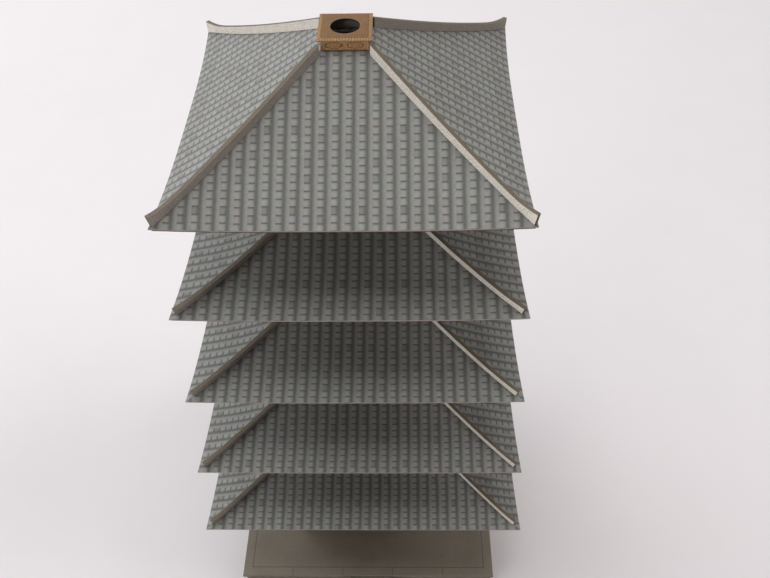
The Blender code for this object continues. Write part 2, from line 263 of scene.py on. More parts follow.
# Tile print: tones and shadows are (place, grey) stops across a column and up a row, and the rest are shares
PICTURE_COLUMNS = 5.0
PICTURE_ROWS = 10.0
COLUMN_STRAY = 0.16
COLUMN_TONES = ((0.0, 0.82), (1.0, 0.82), (0.05, 0.9), (0.12, 0.84), (0.17, 0.96), (0.34, 1.0), (0.45, 0.84),
                (0.54, 0.5), (0.61, 0.16), (0.67, 0.0), (0.73, 0.03), (0.82, 0.3), (0.9, 0.66))
EDGE_SHADOW = ((0.0, 1.0), (1.0, 1.0), (0.05, 0.75), (0.1, 0.0), (0.66, 0.0), (0.82, 0.22), (0.9, 0.8),
               (0.95, 1.0))
SHADOW_INK = 0.82
PAN_MIDDLE = 0.36
DULL_TILE = 0.5

# Dew basin's print in millimetres: half a leaf's width and height, and its distance from the side's middle
LEAF_HALF = (2.55, 1.05)
LEAF_ASIDE = 3.15
LEAF_WAVE = 1.7

# A mix of two colours. Its sockets are 0 for the factor, and 6 and 7 for the colours
COLOUR_MIX = {"output": 2, "data_type": "RGBA"}

# Names of the finishes
TILES = "tile_print_on_card"
RIDGES = "ridge_print_on_card"
BRONZE = "bronze_print_on_card"
BRONZE_LID = "bronze_lid_print_on_card"
STONE = "stone_print_on_card"
KERB = "kerb_print_on_card"
TIMBER = "timber_print_on_card"
BOARDS = "board_print_on_card"
LATTICE = "lattice_print_on_card"
PLASTER = "plaster_print_on_card"
SHADOW = "shadow_print_on_card"
BARE_CARD = "bare_card"

# A block's corners in units of its size, and its faces as seen from outside
CUBE = np.array([(x, y, z) for z in (0.0, 1.0) for x, y in ((0.0, 0.0), (1.0, 0.0), (1.0, 1.0), (0.0, 1.0))])
CUBE_FACES = np.array([(0, 3, 2, 1), (4, 5, 6, 7), (0, 1, 5, 4), (1, 2, 6, 5), (2, 3, 7, 6), (3, 0, 4, 7)])
SQUARE = np.array([(-1, -1), (1, -1), (1, 1), (-1, 1)])
SHARP_EDGE = radians(30)


def linear(hex_colour):
    """A linear colour from an sRGB hex value: the power law above the toe, a straight line below it."""
    channels = [(hex_colour >> shift & 255) / 255 for shift in (16, 8, 0)]
    return tuple(c / 12.92 if c <= 0.04045 else ((c + 0.055) / 1.055) ** 2.4 for c in channels)


def colour_property(label, about, hex_colour):
    return FloatVectorProperty(name=label, description=about, subtype="COLOR", size=3, min=0.0, max=1.0,
                               default=linear(hex_colour))


def length_property(label, about, millimetres):
    return FloatProperty(name=label, description=about, subtype="DISTANCE", unit="LENGTH", precision=5,
                         default=millimetres * MM)


def angle_property(label, about, degrees):
    return FloatProperty(name=label, description=about, subtype="ANGLE", default=radians(degrees))


class PagodaSizes(bpy.types.PropertyGroup):
    """Sizes of what the scene adds to the solids."""
    tile_column: length_property("Tile column", "Width of one printed column, cover tile and pan tile", 3.893)
    tile_row: length_property("Tile row", "Length of pan tile that shows in the print, along the slope", 2.41)
    column_radius: length_property("Column radius", "Radius of the ground storey's columns", 1.25)
    rafter_width: length_property("Rafter width", "Width of one rafter under the eaves", 0.75)
    lattice_pitch: length_property("Lattice pitch", "Distance between the bars of a lattice window", 1.0)
    board_width: length_property("Board width", "Width of one floor board of a balcony", 1.5)


class PagodaColours(bpy.types.PropertyGroup):
    """Inks, as they would look in even white light, save painted light and shade on the ridges' and basin's
    sides.
    """
    tile_light: colour_property("Tile, lit", "Lit tiles of the roof print", 0x999894)
    tile_shade: colour_property("Tile, shaded", "Shaded side of the cover tiles", 0x656663)
    tile_dash: colour_property("Tile edge", "Shadow under the edge of each pan tile", 0x52514D)
    # The two ridge side inks are one cream print, with painted light on sides that face left and painted
    # shade on those that face right
    ridge_painted_light_side: colour_property("Ridge, light side", "Sides of the hip ridges that face left", 0xF0E9DE)
    ridge_painted_shade_side: colour_property("Ridge, shaded side", "Sides of the hip ridges that face right", 0x9F968D)
    ridge_top: colour_property("Ridge top", "Top face of the hip ridges", 0x6C6255)
    ridge_crease: colour_property("Ridge crease", "Worn print along the folds", 0x9A8C6C)
    bronze_top: colour_property("Bronze, top", "Lid of the dew basin", 0x7E6248)
    bronze_bead: colour_property("Bronze, beads", "Beads and edges of the lid", 0xA2845E)
    # The basin's side ink is its own gold-brown, lightened past the lid's as painted light to make up for the
    # shade the sides fall in
    bronze_side_painted_light: colour_property("Bronze, side", "Sides of the dew basin", 0xC69C6C)
    stone: colour_property("Stone", "Podium and steps", 0x898073)
    plaster: colour_property("Plaster", "Plastered wall panels", 0xD8CFBD)
    timber: colour_property("Timber", "Columns, beams, brackets and rafters", 0x5A4434)
    board: colour_property("Boards", "Boards between the rafters, floors and doors", 0x7A6248)
    lattice: colour_property("Lattice", "Bars of the lattice windows", 0x53604F)
    shadow: colour_property("Shadow", "Behind the lattice bars, and inside the spire's hole", 0x38322D)
    card: colour_property("Bare card", "Cut edges and unprinted backs", 0xA79E99)
    floor: colour_property("Floor", "Paper sheet that the model stands on", 0xE7E2E4)


class PagodaCamera(bpy.types.PropertyGroup):
    """Camera of the photograph, from a fit to the corners of the roofs."""
    place: FloatVectorProperty(name="Place", description="Where the camera is", subtype="TRANSLATION", size=3,
                               unit="LENGTH", default=(0.01696, -0.2297, 0.3724))
    turn: angle_property("Turn", "Heading, clockwise from +Y seen from above", -1.85)
    tilt: angle_property("Tilt", "Angle below the horizon", 45.88)
    roll: angle_property("Roll", "Clockwise roll of the camera", 1.60)
    focal_pixels: FloatProperty(name="Focal length in pixels", description="For the photograph's full width",
                                default=854.3)


# Arrays of points and faces

def grid_faces(rows, cols, wrap_rows=False, wrap_cols=False):
    """Corner numbers of a grid's quads. A wrapped direction joins its last points to its first."""
    row, col = np.meshgrid(np.arange(rows if wrap_rows else rows - 1),
                           np.arange(cols if wrap_cols else cols - 1), indexing="ij")
    next_row, next_col = (row + 1) % rows, (col + 1) % cols
    quads = [row * cols + col, row * cols + next_col, next_row * cols + next_col, next_row * cols + col]
    return np.stack(quads, axis=-1).reshape(-1, 4)


def grid_print(u, v):
    """Print coordinates of a grid's quads. A wrapped direction has its first points again at its end."""
    uv = np.stack(np.broadcast_arrays(u, v), axis=-1)
    return np.stack([uv[:-1, :-1], uv[:-1, 1:], uv[1:, 1:], uv[1:, :-1]], axis=2)


def joined(*coordinates):
    """Points from their separate coordinates, each a number or an array."""
    return np.stack(np.broadcast_arrays(*coordinates), axis=-1)


def blocks(x, y, z):
    """Square-edged blocks: x, y and z are (low, high) pairs, and each may be a number or an array of them."""
    low, high = (joined(x[end], y[end], z[end]).reshape(-1, 1, 3).astype(float) for end in (0, 1))
    points = low + (high - low) * CUBE
    faces = CUBE_FACES + 8 * np.arange(len(points))[:, None, None]
    return points.reshape(-1, 3), faces.reshape(-1, 4)


def front_blocks(x, out, z):
    """Blocks on the front side, where out is the distance from the tower's axis."""
    return blocks(x, (-np.asarray(out[1]), -np.asarray(out[0])), z)


def centred(middle, half):
    """The low and high ends of what reaches half its width to each side of its middle."""
    return middle - half, middle + half


def bars(stations):
    """Bars carried along their paths. stations is an array of (bar, station, corner, xyz)."""
    count, length, corners, _ = stations.shape
    starts = np.arange(count)[:, None, None] * length * corners
    sides = (grid_faces(length, corners, wrap_cols=True) + starts).reshape(-1, 4)
    ring = np.arange(corners)
    near = (ring[::-1] + starts[:, 0]).reshape(-1, corners)
    far = (ring + (length - 1) * corners + starts[:, 0]).reshape(-1, corners)
    return stations.reshape(-1, 3), sides, near, far


def oblong(half, near, far):
    """Corners of a bar's section, half wide to each side and from one level to another."""
    return [(-half, near), (half, near), (half, far), (-half, far)]


def swept(section, path, starts=(0.0,)):
    """Bars of one section: its (along, rise) corners carried along (out, level) points from each start."""
    section, path = np.asarray(section), np.asarray(path)
    along = np.asarray(starts)[:, None, None] + section[:, 0]
    return bars(joined(along, path[:, :1], path[:, 1:] + section[:, 1]))


def turned_posts(centres, radii, levels, sides=14):
    """Turned posts: radii at levels, spun about the vertical line through each centre."""
    angle = 2 * pi * np.arange(sides) / sides
    ring = joined(np.cos(angle), np.sin(angle), 0.0)
    middle = joined(0.0, 0.0, levels)
    profile = np.asarray(radii)[:, None, None] * ring + middle[:, None]
    foot = np.array([(x, y, 0.0) for x, y in centres])
    return bars(foot[:, None, None] + profile)


def square_tube(profile):
    """A closed outline of (half width, level) points carried round a square."""
    outline = np.asarray(profile)
    flat = outline[:, :1, None] * SQUARE
    points = joined(flat[..., 0], flat[..., 1], outline[:, 1:])
    return points.reshape(-1, 3), grid_faces(len(outline), 4, wrap_rows=True, wrap_cols=True)


def square_block(profile):
    """A closed block: an outline of (half width, level) points, from foot to top, carried round a square."""
    points, _ = square_tube(profile)
    last = 4 * len(profile) - 4
    ends = np.array([[3, 2, 1, 0]]), np.array([[last, last + 1, last + 2, last + 3]])
    return points, grid_faces(len(profile), 4, wrap_cols=True), *ends


def turned(points, cosine, sine):
    """Points turned about the tower's axis."""
    x, y, z = np.moveaxis(np.asarray(points), -1, 0)
    return np.stack([cosine * x - sine * y, sine * x + cosine * y, z], axis=-1)


def crossed(surface):
    """The same surface with along and out exchanged."""
    return (surface[0][:, [1, 0, 2]], *surface[1:])


def on_wall(surface, along=0.0, wall=0.0):
    """A surface given along and out from a point of the wall, put on the front side."""
    t, out, z = surface[0].T
    return (joined(along + t, -wall - out, z), *surface[1:])


def on_corner(surface, wall):
    """A surface given across and out along the diagonal, put at the front right corner."""
    t, out, z = surface[0].T
    return (joined(wall + (out + t) * sqrt(0.5), -wall - (out - t) * sqrt(0.5), z), *surface[1:])


def enclosed(points, groups):
    """Six times the signed volume inside a closed surface: above zero where its faces point outwards."""
    total = 0.0
    for faces in groups:
        first = points[faces[:, 0]]
        for corner in range(1, faces.shape[1] - 1):
            second, third = points[faces[:, corner]], points[faces[:, corner + 1]]
            total += np.einsum("ij,ij->", first, np.cross(second, third))
    return total


def edge_print(points, faces):
    """Print coordinates in millimetres along and across each face's longer edge, as grain is cut."""
    corner = points[faces]
    one, other = corner[:, 1] - corner[:, 0], corner[:, -1] - corner[:, 0]
    long_one = np.linalg.norm(one, axis=1) >= np.linalg.norm(other, axis=1)
    along = np.where(long_one[:, None], one, other)
    along = along / np.maximum(np.linalg.norm(along, axis=1), 1e-9)[:, None]
    normal = np.cross(corner[:, 1] - corner[:, 0], corner[:, 2] - corner[:, 0])
    across = np.cross(normal, along)
    across = across / np.maximum(np.linalg.norm(across, axis=1), 1e-12)[:, None]
    return joined(np.einsum("fcx,fx->fc", corner, along), np.einsum("fcx,fx->fc", corner, across)) / MM


class Shape:
    """Surfaces gathered for one piece, each with its print coordinates and its finish."""

    def __init__(self, *finishes):
        self.finishes = finishes
        self.points = []
        self.faces = []
        self.prints = []
        self.numbers = []
        self.count = 0

    def add(self, surface, finish=None, prints=None, ends=None):
        """Adds a closed surface: its points and one or more groups of faces, turned to point outwards.

        finish names the first group's finish, or each of its faces' own. ends names the other groups' finish.
        """
        points, groups = np.asarray(surface[0], float), surface[1:]
        inside_out = enclosed(points, groups) < 0
        finish = self.finishes[0] if finish is None else finish
        for group, faces in enumerate(groups):
            uv = edge_print(points, faces) if group or prints is None else prints.reshape(*faces.shape, 2)
            if inside_out:
                faces, uv = faces[:, ::-1], uv[:, ::-1]
            names = np.ravel(ends if group and ends else finish)
            self.numbers.append(np.broadcast_to([self.finishes.index(name) for name in names], len(faces)))
            self.faces.append(faces + self.count)
            self.prints.append(uv)
        self.points.append(points)
        self.count += len(points)

    def add_sides(self, surface, finish=None):
        """Adds a surface of the front side, and its copies on the other three."""
        for cosine, sine in QUARTER_TURNS:
            self.add((turned(surface[0], cosine, sine), *surface[1:]), finish)


def make_piece(name, shape, slot, *replaced):
    """Puts a shape's arrays into a mesh and rides it on the model, in place of the nodes that it replaces."""
    mesh = bpy.data.meshes.new(name)
    points = np.concatenate(shape.points)
    corners = np.concatenate([faces.ravel() for faces in shape.faces]).astype(np.int32)
    sizes = np.concatenate([np.full(len(faces), faces.shape[1]) for faces in shape.faces])
    mesh.vertices.add(len(points))
    mesh.vertices.foreach_set("co", points.ravel())
    mesh.loops.add(len(corners))
    mesh.loops.foreach_set("vertex_index", corners)
    mesh.polygons.add(len(sizes))
    mesh.polygons.foreach_set("loop_start", np.concatenate([[0], np.cumsum(sizes)[:-1]]).astype(np.int32))
    mesh.polygons.foreach_set("material_index", np.concatenate(shape.numbers).astype(np.int32))
    mesh.update(calc_edges=True)
    layer = mesh.uv_layers.new(name=PRINT)
    layer.data.foreach_set("uv", np.concatenate([uv.reshape(-1, 2) for uv in shape.prints]).ravel())
    mesh.shade_smooth()
    mesh.set_sharp_from_angle(angle=SHARP_EDGE)
    for finish in shape.finishes:
        mesh.materials.append(get_finish(finish))
    piece = bpy.data.objects.new(name, mesh)
    bpy.context.scene.collection.objects.link(piece)
    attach(piece, "root")
    if replaced:
        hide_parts(*replaced)


def dress_node(node, finish):
    """Gives one of the scene's finishes to a CAD node that stays in sight."""
    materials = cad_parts[node].data.materials
    materials.clear()
    materials.append(get_finish(finish))


# The storeys, as the frame has them

def storey_sizes(number):
    """Half widths and levels of one storey, read from its solids."""
    wall_low, wall_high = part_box("walls_%d" % number)
    roof_low, roof_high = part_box("roof_%d" % number)
    bracket_low, bracket_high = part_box("brackets_%d" % number)
    top = number == TOP_STOREY
    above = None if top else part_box("walls_%d" % (number + 1))[1].x
    deck = wall_low.z if number == GROUND_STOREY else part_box("balcony_%d" % number)[0].z + DECK_RISE
    return SimpleNamespace(
        number=number, wall=wall_high.x, foot=wall_low.z, head=wall_high.z, deck=deck,
        purlin=bracket_high.x, bracket_foot=bracket_low.z, bracket_head=bracket_high.z,
        roof=roof_high.x, eave=roof_low.z + CARD, seat_level=roof_high.z,
        seat=BASIN_SEAT_HALF if top else above + SEAT_MARGIN,
        lip=BASIN_SEAT_LIP if top else above - SEAT_LIP)


def reach_out(storey, half):
    """0 at the top of a roof's slope, and 1 at its eave."""
    return (half - storey.seat) / (storey.roof - storey.seat)


def sheet_level(storey, half, across, slope_1, slope_2):
    """Level of a sheet: a parabola up from the eave, and a cubic lift to each corner that fades inwards."""
    run = storey.roof - half
    lift = CORNER_LIFT * np.abs(across) ** 3 * reach_out(storey, half) ** LIFT_FADE[storey.number]
    return storey.eave + slope_1 * run + slope_2 * run ** 2 + lift


def roof_level(storey, half, across):
    return sheet_level(storey, half, across, SLOPE_1[storey.number], SLOPE_2[storey.number])


def side_points(storey, half, across, level):
    """Points of the front side: x is the share across, and the eave bows inwards between its corners."""
    inset = EAVE_BOW * (1.0 - np.abs(across) ** 3) * reach_out(storey, half) ** 2
    return joined(across * half, inset - half, level)


def roof_points(storey, half, across, drop=0.0):
    """Points of a roof sheet's top face, or as far below it as drop says."""
    return side_points(storey, half, across, roof_level(storey, half, across) - drop)


def eaves_points(storey, half, across, drop=0.0):
    """Points of the eaves' underside, or as far below it as drop says."""
    level = sheet_level(storey, half, across, EAVES_SLOPE_1, EAVES_SLOPE_2)
    return side_points(storey, half, across, level - CARD - GLUE_LINE - EAVES_CARD - drop)


def sheet_round(front):
    """A sheet's closed outline on the front side, carried round all four sides, with its print.

    The print runs across each side, and along the outline from its first point.
    """
    rows, cols = front.shape[0], front.shape[1] - 1
    ring = np.concatenate([turned(front[:, :-1], c, s) for c, s in QUARTER_TURNS], axis=1)
    faces = grid_faces(rows, 4 * cols, wrap_rows=True, wrap_cols=True)
    middle = front[:, cols // 2]
    step = np.linalg.norm(middle - np.roll(middle, -1, axis=0), axis=1)
    along = np.concatenate([[0.0], np.cumsum(step)])[:, None]
    wide = np.concatenate([front[..., 0], front[:1, :, 0]])
    prints = np.tile(grid_print(wide / MM, along / MM), (1, 4, 1, 1))
    return (ring.reshape(-1, 3), faces), prints


# Finishes

def add_node(tree, kind, inputs=(), output=0, stops=(), **settings):
    """Adds a shader node, sets or links its inputs, and returns the output that is asked for.

    inputs has the values of the first sockets, or maps sockets to values. stops are the greys of a ramp.
    """
    made = tree.nodes.new("ShaderNode" + kind)
    for name, value in settings.items():
        setattr(made, name, value)
    for key, value in inputs.items() if isinstance(inputs, dict) else enumerate(inputs):
        socket = made.inputs[key]
        if isinstance(value, bpy.types.NodeSocket):
            tree.links.new(value, socket)
        else:
            socket.default_value = (*value, 1.0) if socket.type == "RGBA" else value
    for number, (place, grey) in enumerate(stops):
        ends = made.color_ramp.elements
        stop = ends[number] if number < 2 else ends.new(place)
        stop.position = place
        stop.color = (grey, grey, grey, 1.0)
    return None if output is None else made.outputs[output]


def new_finish(name):
    """A new material, and the helper above as it adds nodes to this material's tree."""
    material = bpy.data.materials.new(name)
    material.use_nodes = True
    material.node_tree.nodes.clear()
    return material, partial(add_node, material.node_tree)


def darker(colour, share):
    """A colour at a share of its light, or lighter than it where the share is above 1."""
    return tuple(share * channel for channel in colour)


def mottled(add, colour, place, size, light, tint):
    """A colour varied by clouds of one size: light is how far it brightens, tint how far its hue strays."""
    clouds = add("TexNoise", {"Vector": place, "Scale": 1.0 / size, "Detail": 3.0, "Roughness": 0.6},
                 output="Color")
    shade = add("MapRange", (clouds.node.outputs["Fac"], 0.3, 0.7, 1.0 - light, 1.0 + light))
    hue = add("VectorMath", (clouds, (2 * tint,) * 3, (1.0 - tint,) * 3), operation="MULTIPLY_ADD")
    both = add("VectorMath", {0: hue, "Scale": shade}, operation="SCALE")
    return add("VectorMath", (colour, both), operation="MULTIPLY")


def finish_card(material, add, colour, roughness, specular=0.3):
    """Ink on matt card: its fibres show as a fine bump, and take the ink's sheen unevenly."""
    place = add("TexCoord", output="Object")
    fibres = add("TexNoise", {"Vector": place, "Scale": 1.0 / (0.35 * MM), "Detail": 4.0, "Roughness": 0.65})
    sheen = add("MapRange", (fibres, 0.3, 0.7, roughness - 0.07, roughness + 0.07))
    bump = add("Bump", {"Height": fibres, "Strength": 0.6, "Distance": 0.03 * MM})
    shader = add("BsdfPrincipled", {"Base Color": colour, "Roughness": sheen, "Normal": bump,
                                    "Specular IOR Level": specular})
    add("OutputMaterial", {"Surface": shader}, output=None)
    return material


def lined(add, place, middle, thickness, strength):
    """A printed line: strength where place is near middle, and 0 beyond half the thickness."""
    away = add("Math", (place, middle), operation="SUBTRACT")
    away = add("Math", (away,), operation="ABSOLUTE")
    return add("MapRange", (away, thickness * 0.35, thickness * 0.65, strength, 0.0))


def square_place(add, place, half):
    """Where a point is on a square lid: how far inside its edge, and how far along from the edge's middle."""
    x = add("SeparateXYZ", (place,))
    wide = add("Math", (x,), operation="ABSOLUTE")
    deep = add("Math", (x.node.outputs["Y"],), operation="ABSOLUTE")
    nearest = add("Math", (wide, deep), operation="MAXIMUM")
    along = add("Math", (wide, deep), operation="MINIMUM")
    return add("Math", (half, nearest), operation="SUBTRACT"), along


def tile_print(sizes, ink):
    """Roof sheets: a picture of grey fired tiles, inkjet on matt card, with no relief.

    The picture repeats every five columns and ten rows. A column has a lit cover tile and a pan tile that
    darkens to the right. Each pan tile has a shadow under its edge, a little out of line with those beside
    it, and a few of the pan tiles are duller than the rest.
    """
    material, add = new_finish(TILES)
    place = add("UVMap", uv_map=PRINT)
    u = add("SeparateXYZ", (place,))
    v = u.node.outputs["Y"]
    across = add("Math", (u, sizes.tile_column / MM), operation="DIVIDE")
    phase = add("Math", (across,), operation="FRACT")
    column = add("Math", (across,), operation="FLOOR")
    column = add("Math", (column, PICTURE_COLUMNS), operation="FLOORED_MODULO")
    stray = add("TexWhiteNoise", {"W": column}, noise_dimensions="1D")
    up = add("Math", (v, sizes.tile_row / MM), operation="DIVIDE")
    up = add("Math", (stray, COLUMN_STRAY, up), operation="MULTIPLY_ADD")
    row_phase = add("Math", (up,), operation="FRACT")
    row = add("Math", (up,), operation="FLOOR")
    row = add("Math", (row, PICTURE_ROWS), operation="FLOORED_MODULO")
    tile = add("CombineXYZ", (column, row))
    chance = add("TexWhiteNoise", {"Vector": tile}, output="Color", noise_dimensions="3D")

    # Across a column: the cover tile's light at 0 and 1, the pan from 0.13 to 0.5, the shade at 0.68
    tone = add("ValToRGB", (phase,), stops=COLUMN_TONES)
    off = add("Math", (phase, PAN_MIDDLE), operation="SUBTRACT")
    off = add("Math", (off,), operation="ABSOLUTE")
    on_pan = add("MapRange", (off, 0.2, 0.27, 1.0, 0.0), interpolation_type="SMOOTHSTEP")
    under_edge = add("ValToRGB", (row_phase,), stops=EDGE_SHADOW)
    dash = add("Math", (on_pan, under_edge), operation="MULTIPLY")
    dash = add("Math", (dash, SHADOW_INK), operation="MULTIPLY")
    dull = add("Math", (chance.node.outputs["Value"], 4.0), operation="POWER")
    dull = add("Math", (dull, 0.15), operation="SUBTRACT")
    dull = add("Math", (dull, on_pan), operation="MULTIPLY")
    tone = add("Math", (dull, -DULL_TILE, tone), operation="MULTIPLY_ADD")

    body = add("Mix", {0: tone, 6: ink.tile_shade, 7: ink.tile_light}, clamp_factor=False, **COLOUR_MIX)
    body = add("Mix", {0: dash, 6: body, 7: ink.tile_dash}, **COLOUR_MIX)
    tint = add("VectorMath", (chance, (0.05,) * 3, (0.975,) * 3), operation="MULTIPLY_ADD")
    body = add("VectorMath", (body, tint), operation="MULTIPLY")
    body = mottled(add, body, place, size=1.1, light=0.07, tint=0.12)
    return finish_card(material, add, body, roughness=0.62)


def ridge_print(ink):
    """Hip ridges: a printed strip folded over a former, olive brown on top, its sides in painted light and
    shade.

    Sides that face left carry painted light and sides that face right painted shade. Across the strip, 0 is
    the middle of the top, and the side with painted shade is above it. The folds have worn pale.
    """
    edge = RIDGE_WIDTH / 2 / MM
    material, add = new_finish(RIDGES)
    place = add("UVMap", uv_map=PRINT)
    across = add("SeparateXYZ", (place,), output="Y")
    from_middle = add("Math", (across,), operation="ABSOLUTE")
    on_side = add("MapRange", (from_middle, edge - 0.05, edge + 0.05))
    # Painted light and shade: sides that face left take the lit ink, sides that face right the shaded one
    shaded = add("Math", (across, 0.0), operation="GREATER_THAN")
    side = add("Mix", {0: shaded, 6: ink.ridge_painted_light_side, 7: ink.ridge_painted_shade_side}, **COLOUR_MIX)
    body = add("Mix", {0: on_side, 6: ink.ridge_top, 7: side}, **COLOUR_MIX)
    cracked = lined(add, from_middle, edge - 0.1, 0.23, 0.35)
    ragged = add("TexNoise", {"Vector": place, "Scale": 1.2, "Detail": 3.0})
    ragged = add("MapRange", (ragged, 0.38, 0.6))
    cracked = add("Math", (cracked, ragged), operation="MULTIPLY")
    body = add("Mix", {0: cracked, 6: body, 7: ink.ridge_crease}, **COLOUR_MIX)
    body = mottled(add, body, place, size=0.42, light=0.3, tint=0.06)
    body = mottled(add, body, place, size=3.5, light=0.06, tint=0.05)
    return finish_card(material, add, body, roughness=0.66)


def bronze_side_print(ink):
    """Dew basin's sides: gold-brown ink made lighter as painted light, two leaf-like cartouches a side, pale
    corners.

    Print is in millimetres from the middle of a side.
    """
    low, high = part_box("dew_basin_body")
    half, foot = high.x / MM, (low.z - high.z) / 2 / MM
    material, add = new_finish(BRONZE)
    place = add("UVMap", uv_map=PRINT)
    u = add("SeparateXYZ", (place,))
    v = u.node.outputs["Y"]
    beside = add("Math", (u,), operation="ABSOLUTE")

    # A leaf with a wavy outline: reach is 0 at its middle and about 1 at its rim
    sideways = add("Math", (beside, LEAF_ASIDE), operation="SUBTRACT")
    leaf = add("CombineXYZ", (sideways, v))
    leaf = add("VectorMath", (leaf, (*LEAF_HALF, 1.0)), operation="DIVIDE")
    reach = add("VectorMath", (leaf,), output="Value", operation="LENGTH")
    wave = add("Math", (u, 2 * pi / LEAF_WAVE), operation="MULTIPLY")
    wave = add("Math", (wave,), operation="SINE")
    reach = add("Math", (wave, 0.07, reach), operation="MULTIPLY_ADD")
    outline, vein = lined(add, reach, 0.92, 0.22, 0.7), lined(add, reach, 0.45, 0.2, 0.35)
    lines = add("Math", (outline, vein), operation="MAXIMUM")
    # The dark band along the foot is a painted shadow where the box stands on the roof; the other lines are
    # print
    lines = add("Math", (lines, lined(add, v, foot, 0.6, 0.7)), operation="MAXIMUM")
    corner = lined(add, beside, half - 0.25, 0.4, 0.7)
    body = add("Mix", {0: lines, 6: ink.bronze_side_painted_light, 7: darker(ink.bronze_side_painted_light, 0.2)}, **COLOUR_MIX)
    body = add("Mix", {0: corner, 6: body, 7: darker(ink.bronze_side_painted_light, 1.35)}, **COLOUR_MIX)
    body = mottled(add, body, place, size=0.45, light=0.24, tint=0.07)
    return finish_card(material, add, body, roughness=0.7, specular=0.15)


def bronze_lid_print(ink):
    """Dew basin's lid: brown ink on its top, and a row of paler beads round the sloping edge."""
    material, add = new_finish(BRONZE_LID)
    place = add("TexCoord", output="Object")
    inset, along = square_place(add, place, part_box("dew_basin_lid")[1].x)
    on_slope = add("MapRange", (inset, *centred(LID_SLOPE, 0.05 * MM), 1.0, 0.0))
    turns = add("Math", (along, 2 * pi / BEAD_PITCH), operation="MULTIPLY")
    turns = add("Math", (turns,), operation="COSINE")
    bead = add("MapRange", (turns, -0.8, 0.6, 0.25))
    fold = lined(add, inset, LID_SLOPE, 0.3 * MM, 0.35)
    edge = add("Mix", {0: bead, 6: ink.bronze_top, 7: ink.bronze_bead}, **COLOUR_MIX)
    body = add("Mix", {0: on_slope, 6: ink.bronze_top, 7: edge}, **COLOUR_MIX)
    body = add("Mix", {0: fold, 6: body, 7: darker(ink.bronze_top, 0.4)}, **COLOUR_MIX)
    body = mottled(add, body, place, size=0.45 * MM, light=0.2, tint=0.06)
    body = mottled(add, body, place, size=4.0 * MM, light=0.07, tint=0.06)
    return finish_card(material, add, body, roughness=0.8, specular=0.08)


def finish_stone(material, add, body, place):
    """Warm grey stone print: fine grit and broad stains on matt card."""
    body = mottled(add, body, place, size=0.7 * MM, light=0.09, tint=0.03)
    body = mottled(add, body, place, size=9.0 * MM, light=0.06, tint=0.04)
    return finish_card(material, add, body, roughness=0.68)


def stone_print(ink):
    """Podium and steps: plain stone print."""
    material, add = new_finish(STONE)
    return finish_stone(material, add, tuple(ink.stone), add("TexCoord", output="Object"))


def kerb_print(ink):
    """Podium's top: stone print with a line inside the kerb, and the joints between the kerb's stones."""
    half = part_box("podium_cap")[1].x
    stone, line = 2 * half / KERB_STONES, 0.42 * MM
    material, add = new_finish(KERB)
    place = add("TexCoord", output="Object")
    inset, along = square_place(add, place, half)
    border = lined(add, inset, KERB_WIDTH, line, 0.5)
    along = add("Math", (along, stone), operation="DIVIDE")
    along = add("Math", (along,), operation="FRACT")
    joint = lined(add, along, 0.5, line / stone, 0.4)
    in_kerb = add("Math", (inset, KERB_WIDTH), operation="LESS_THAN")
    joint = add("Math", (joint, in_kerb), operation="MULTIPLY")
    lines = add("Math", (border, joint), operation="MAXIMUM")
    body = add("Mix", {0: lines, 6: ink.stone, 7: darker(ink.stone, 0.25)}, **COLOUR_MIX)
    return finish_stone(material, add, body, place)


def grained_print(name, colour, ring=0.55, depth=0.3):
    """Timber print: dark streaks a ring apart and many times as long, along each member, on matt card."""
    material, add = new_finish(name)
    place = add("UVMap", uv_map=PRINT)
    stretched = add("Mapping", {"Vector": place, "Scale": (1.0 / 14.0, 1.0 / ring, 1.0)})
    grain = add("TexNoise", {"Vector": stretched, "Scale": 1.0, "Detail": 5.0, "Roughness": 0.7,
                             "Distortion": 0.4})
    tone = add("MapRange", (grain, 0.3, 0.7, 1.0 - depth, 1.0 + depth))
    body = add("VectorMath", {0: tuple(colour), "Scale": tone}, operation="SCALE")
    body = mottled(add, body, place, size=5.0, light=0.1, tint=0.05)
    return finish_card(material, add, body, roughness=0.66)


def plain_print(name, colour, size, light, tint, roughness=0.7):
    """An even print or bare card, mottled by its fibres."""
    material, add = new_finish(name)
    place = add("TexCoord", output="Object")
    body = mottled(add, tuple(colour), place, size=size, light=light, tint=tint)
    body = mottled(add, body, place, size=6 * size, light=light, tint=tint)
    return finish_card(material, add, body, roughness=roughness)


def get_finish(name):
    """The finish of that name, made by the first piece that needs it."""
    scene = bpy.context.scene
    sizes, ink = scene.pagoda_sizes, scene.pagoda_colours
    makers = {
        TILES: lambda: tile_print(sizes, ink),
        RIDGES: lambda: ridge_print(ink),
        BRONZE: lambda: bronze_side_print(ink),
        BRONZE_LID: lambda: bronze_lid_print(ink),
        STONE: lambda: stone_print(ink),
        KERB: lambda: kerb_print(ink),
        TIMBER: lambda: grained_print(TIMBER, ink.timber),
        BOARDS: lambda: grained_print(BOARDS, ink.board, ring=0.8, depth=0.22),
        LATTICE: lambda: grained_print(LATTICE, ink.lattice, depth=0.2),
        PLASTER: lambda: plain_print(PLASTER, ink.plaster, 1.2 * MM, 0.05, 0.02),
        SHADOW: lambda: plain_print(SHADOW, ink.shadow, 0.8 * MM, 0.1, 0.02),
        BARE_CARD: lambda: plain_print(BARE_CARD, ink.card, 0.3 * MM, 0.08, 0.03),
    }
    return bpy.data.materials.get(name) or makers[name]()


# Roofs, ridges and dew basin

def roof_outline(storey, rows=44, cols=44):
    """A roof sheet's outline: up the slope from the eave, over the flat lip, and back down the underside."""
    half = np.linspace(storey.roof, storey.seat, rows)[:, None]
    across = np.linspace(-1.0, 1.0, cols + 1)[None]
    lip_levels = np.array([[storey.seat_level], [storey.seat_level - CARD]])
    lip = joined(storey.lip * across, -storey.lip, lip_levels)
    top, under = roof_points(storey, half, across), roof_points(storey, half, across, CARD)
    return np.concatenate([top, lip, under[::-1]])


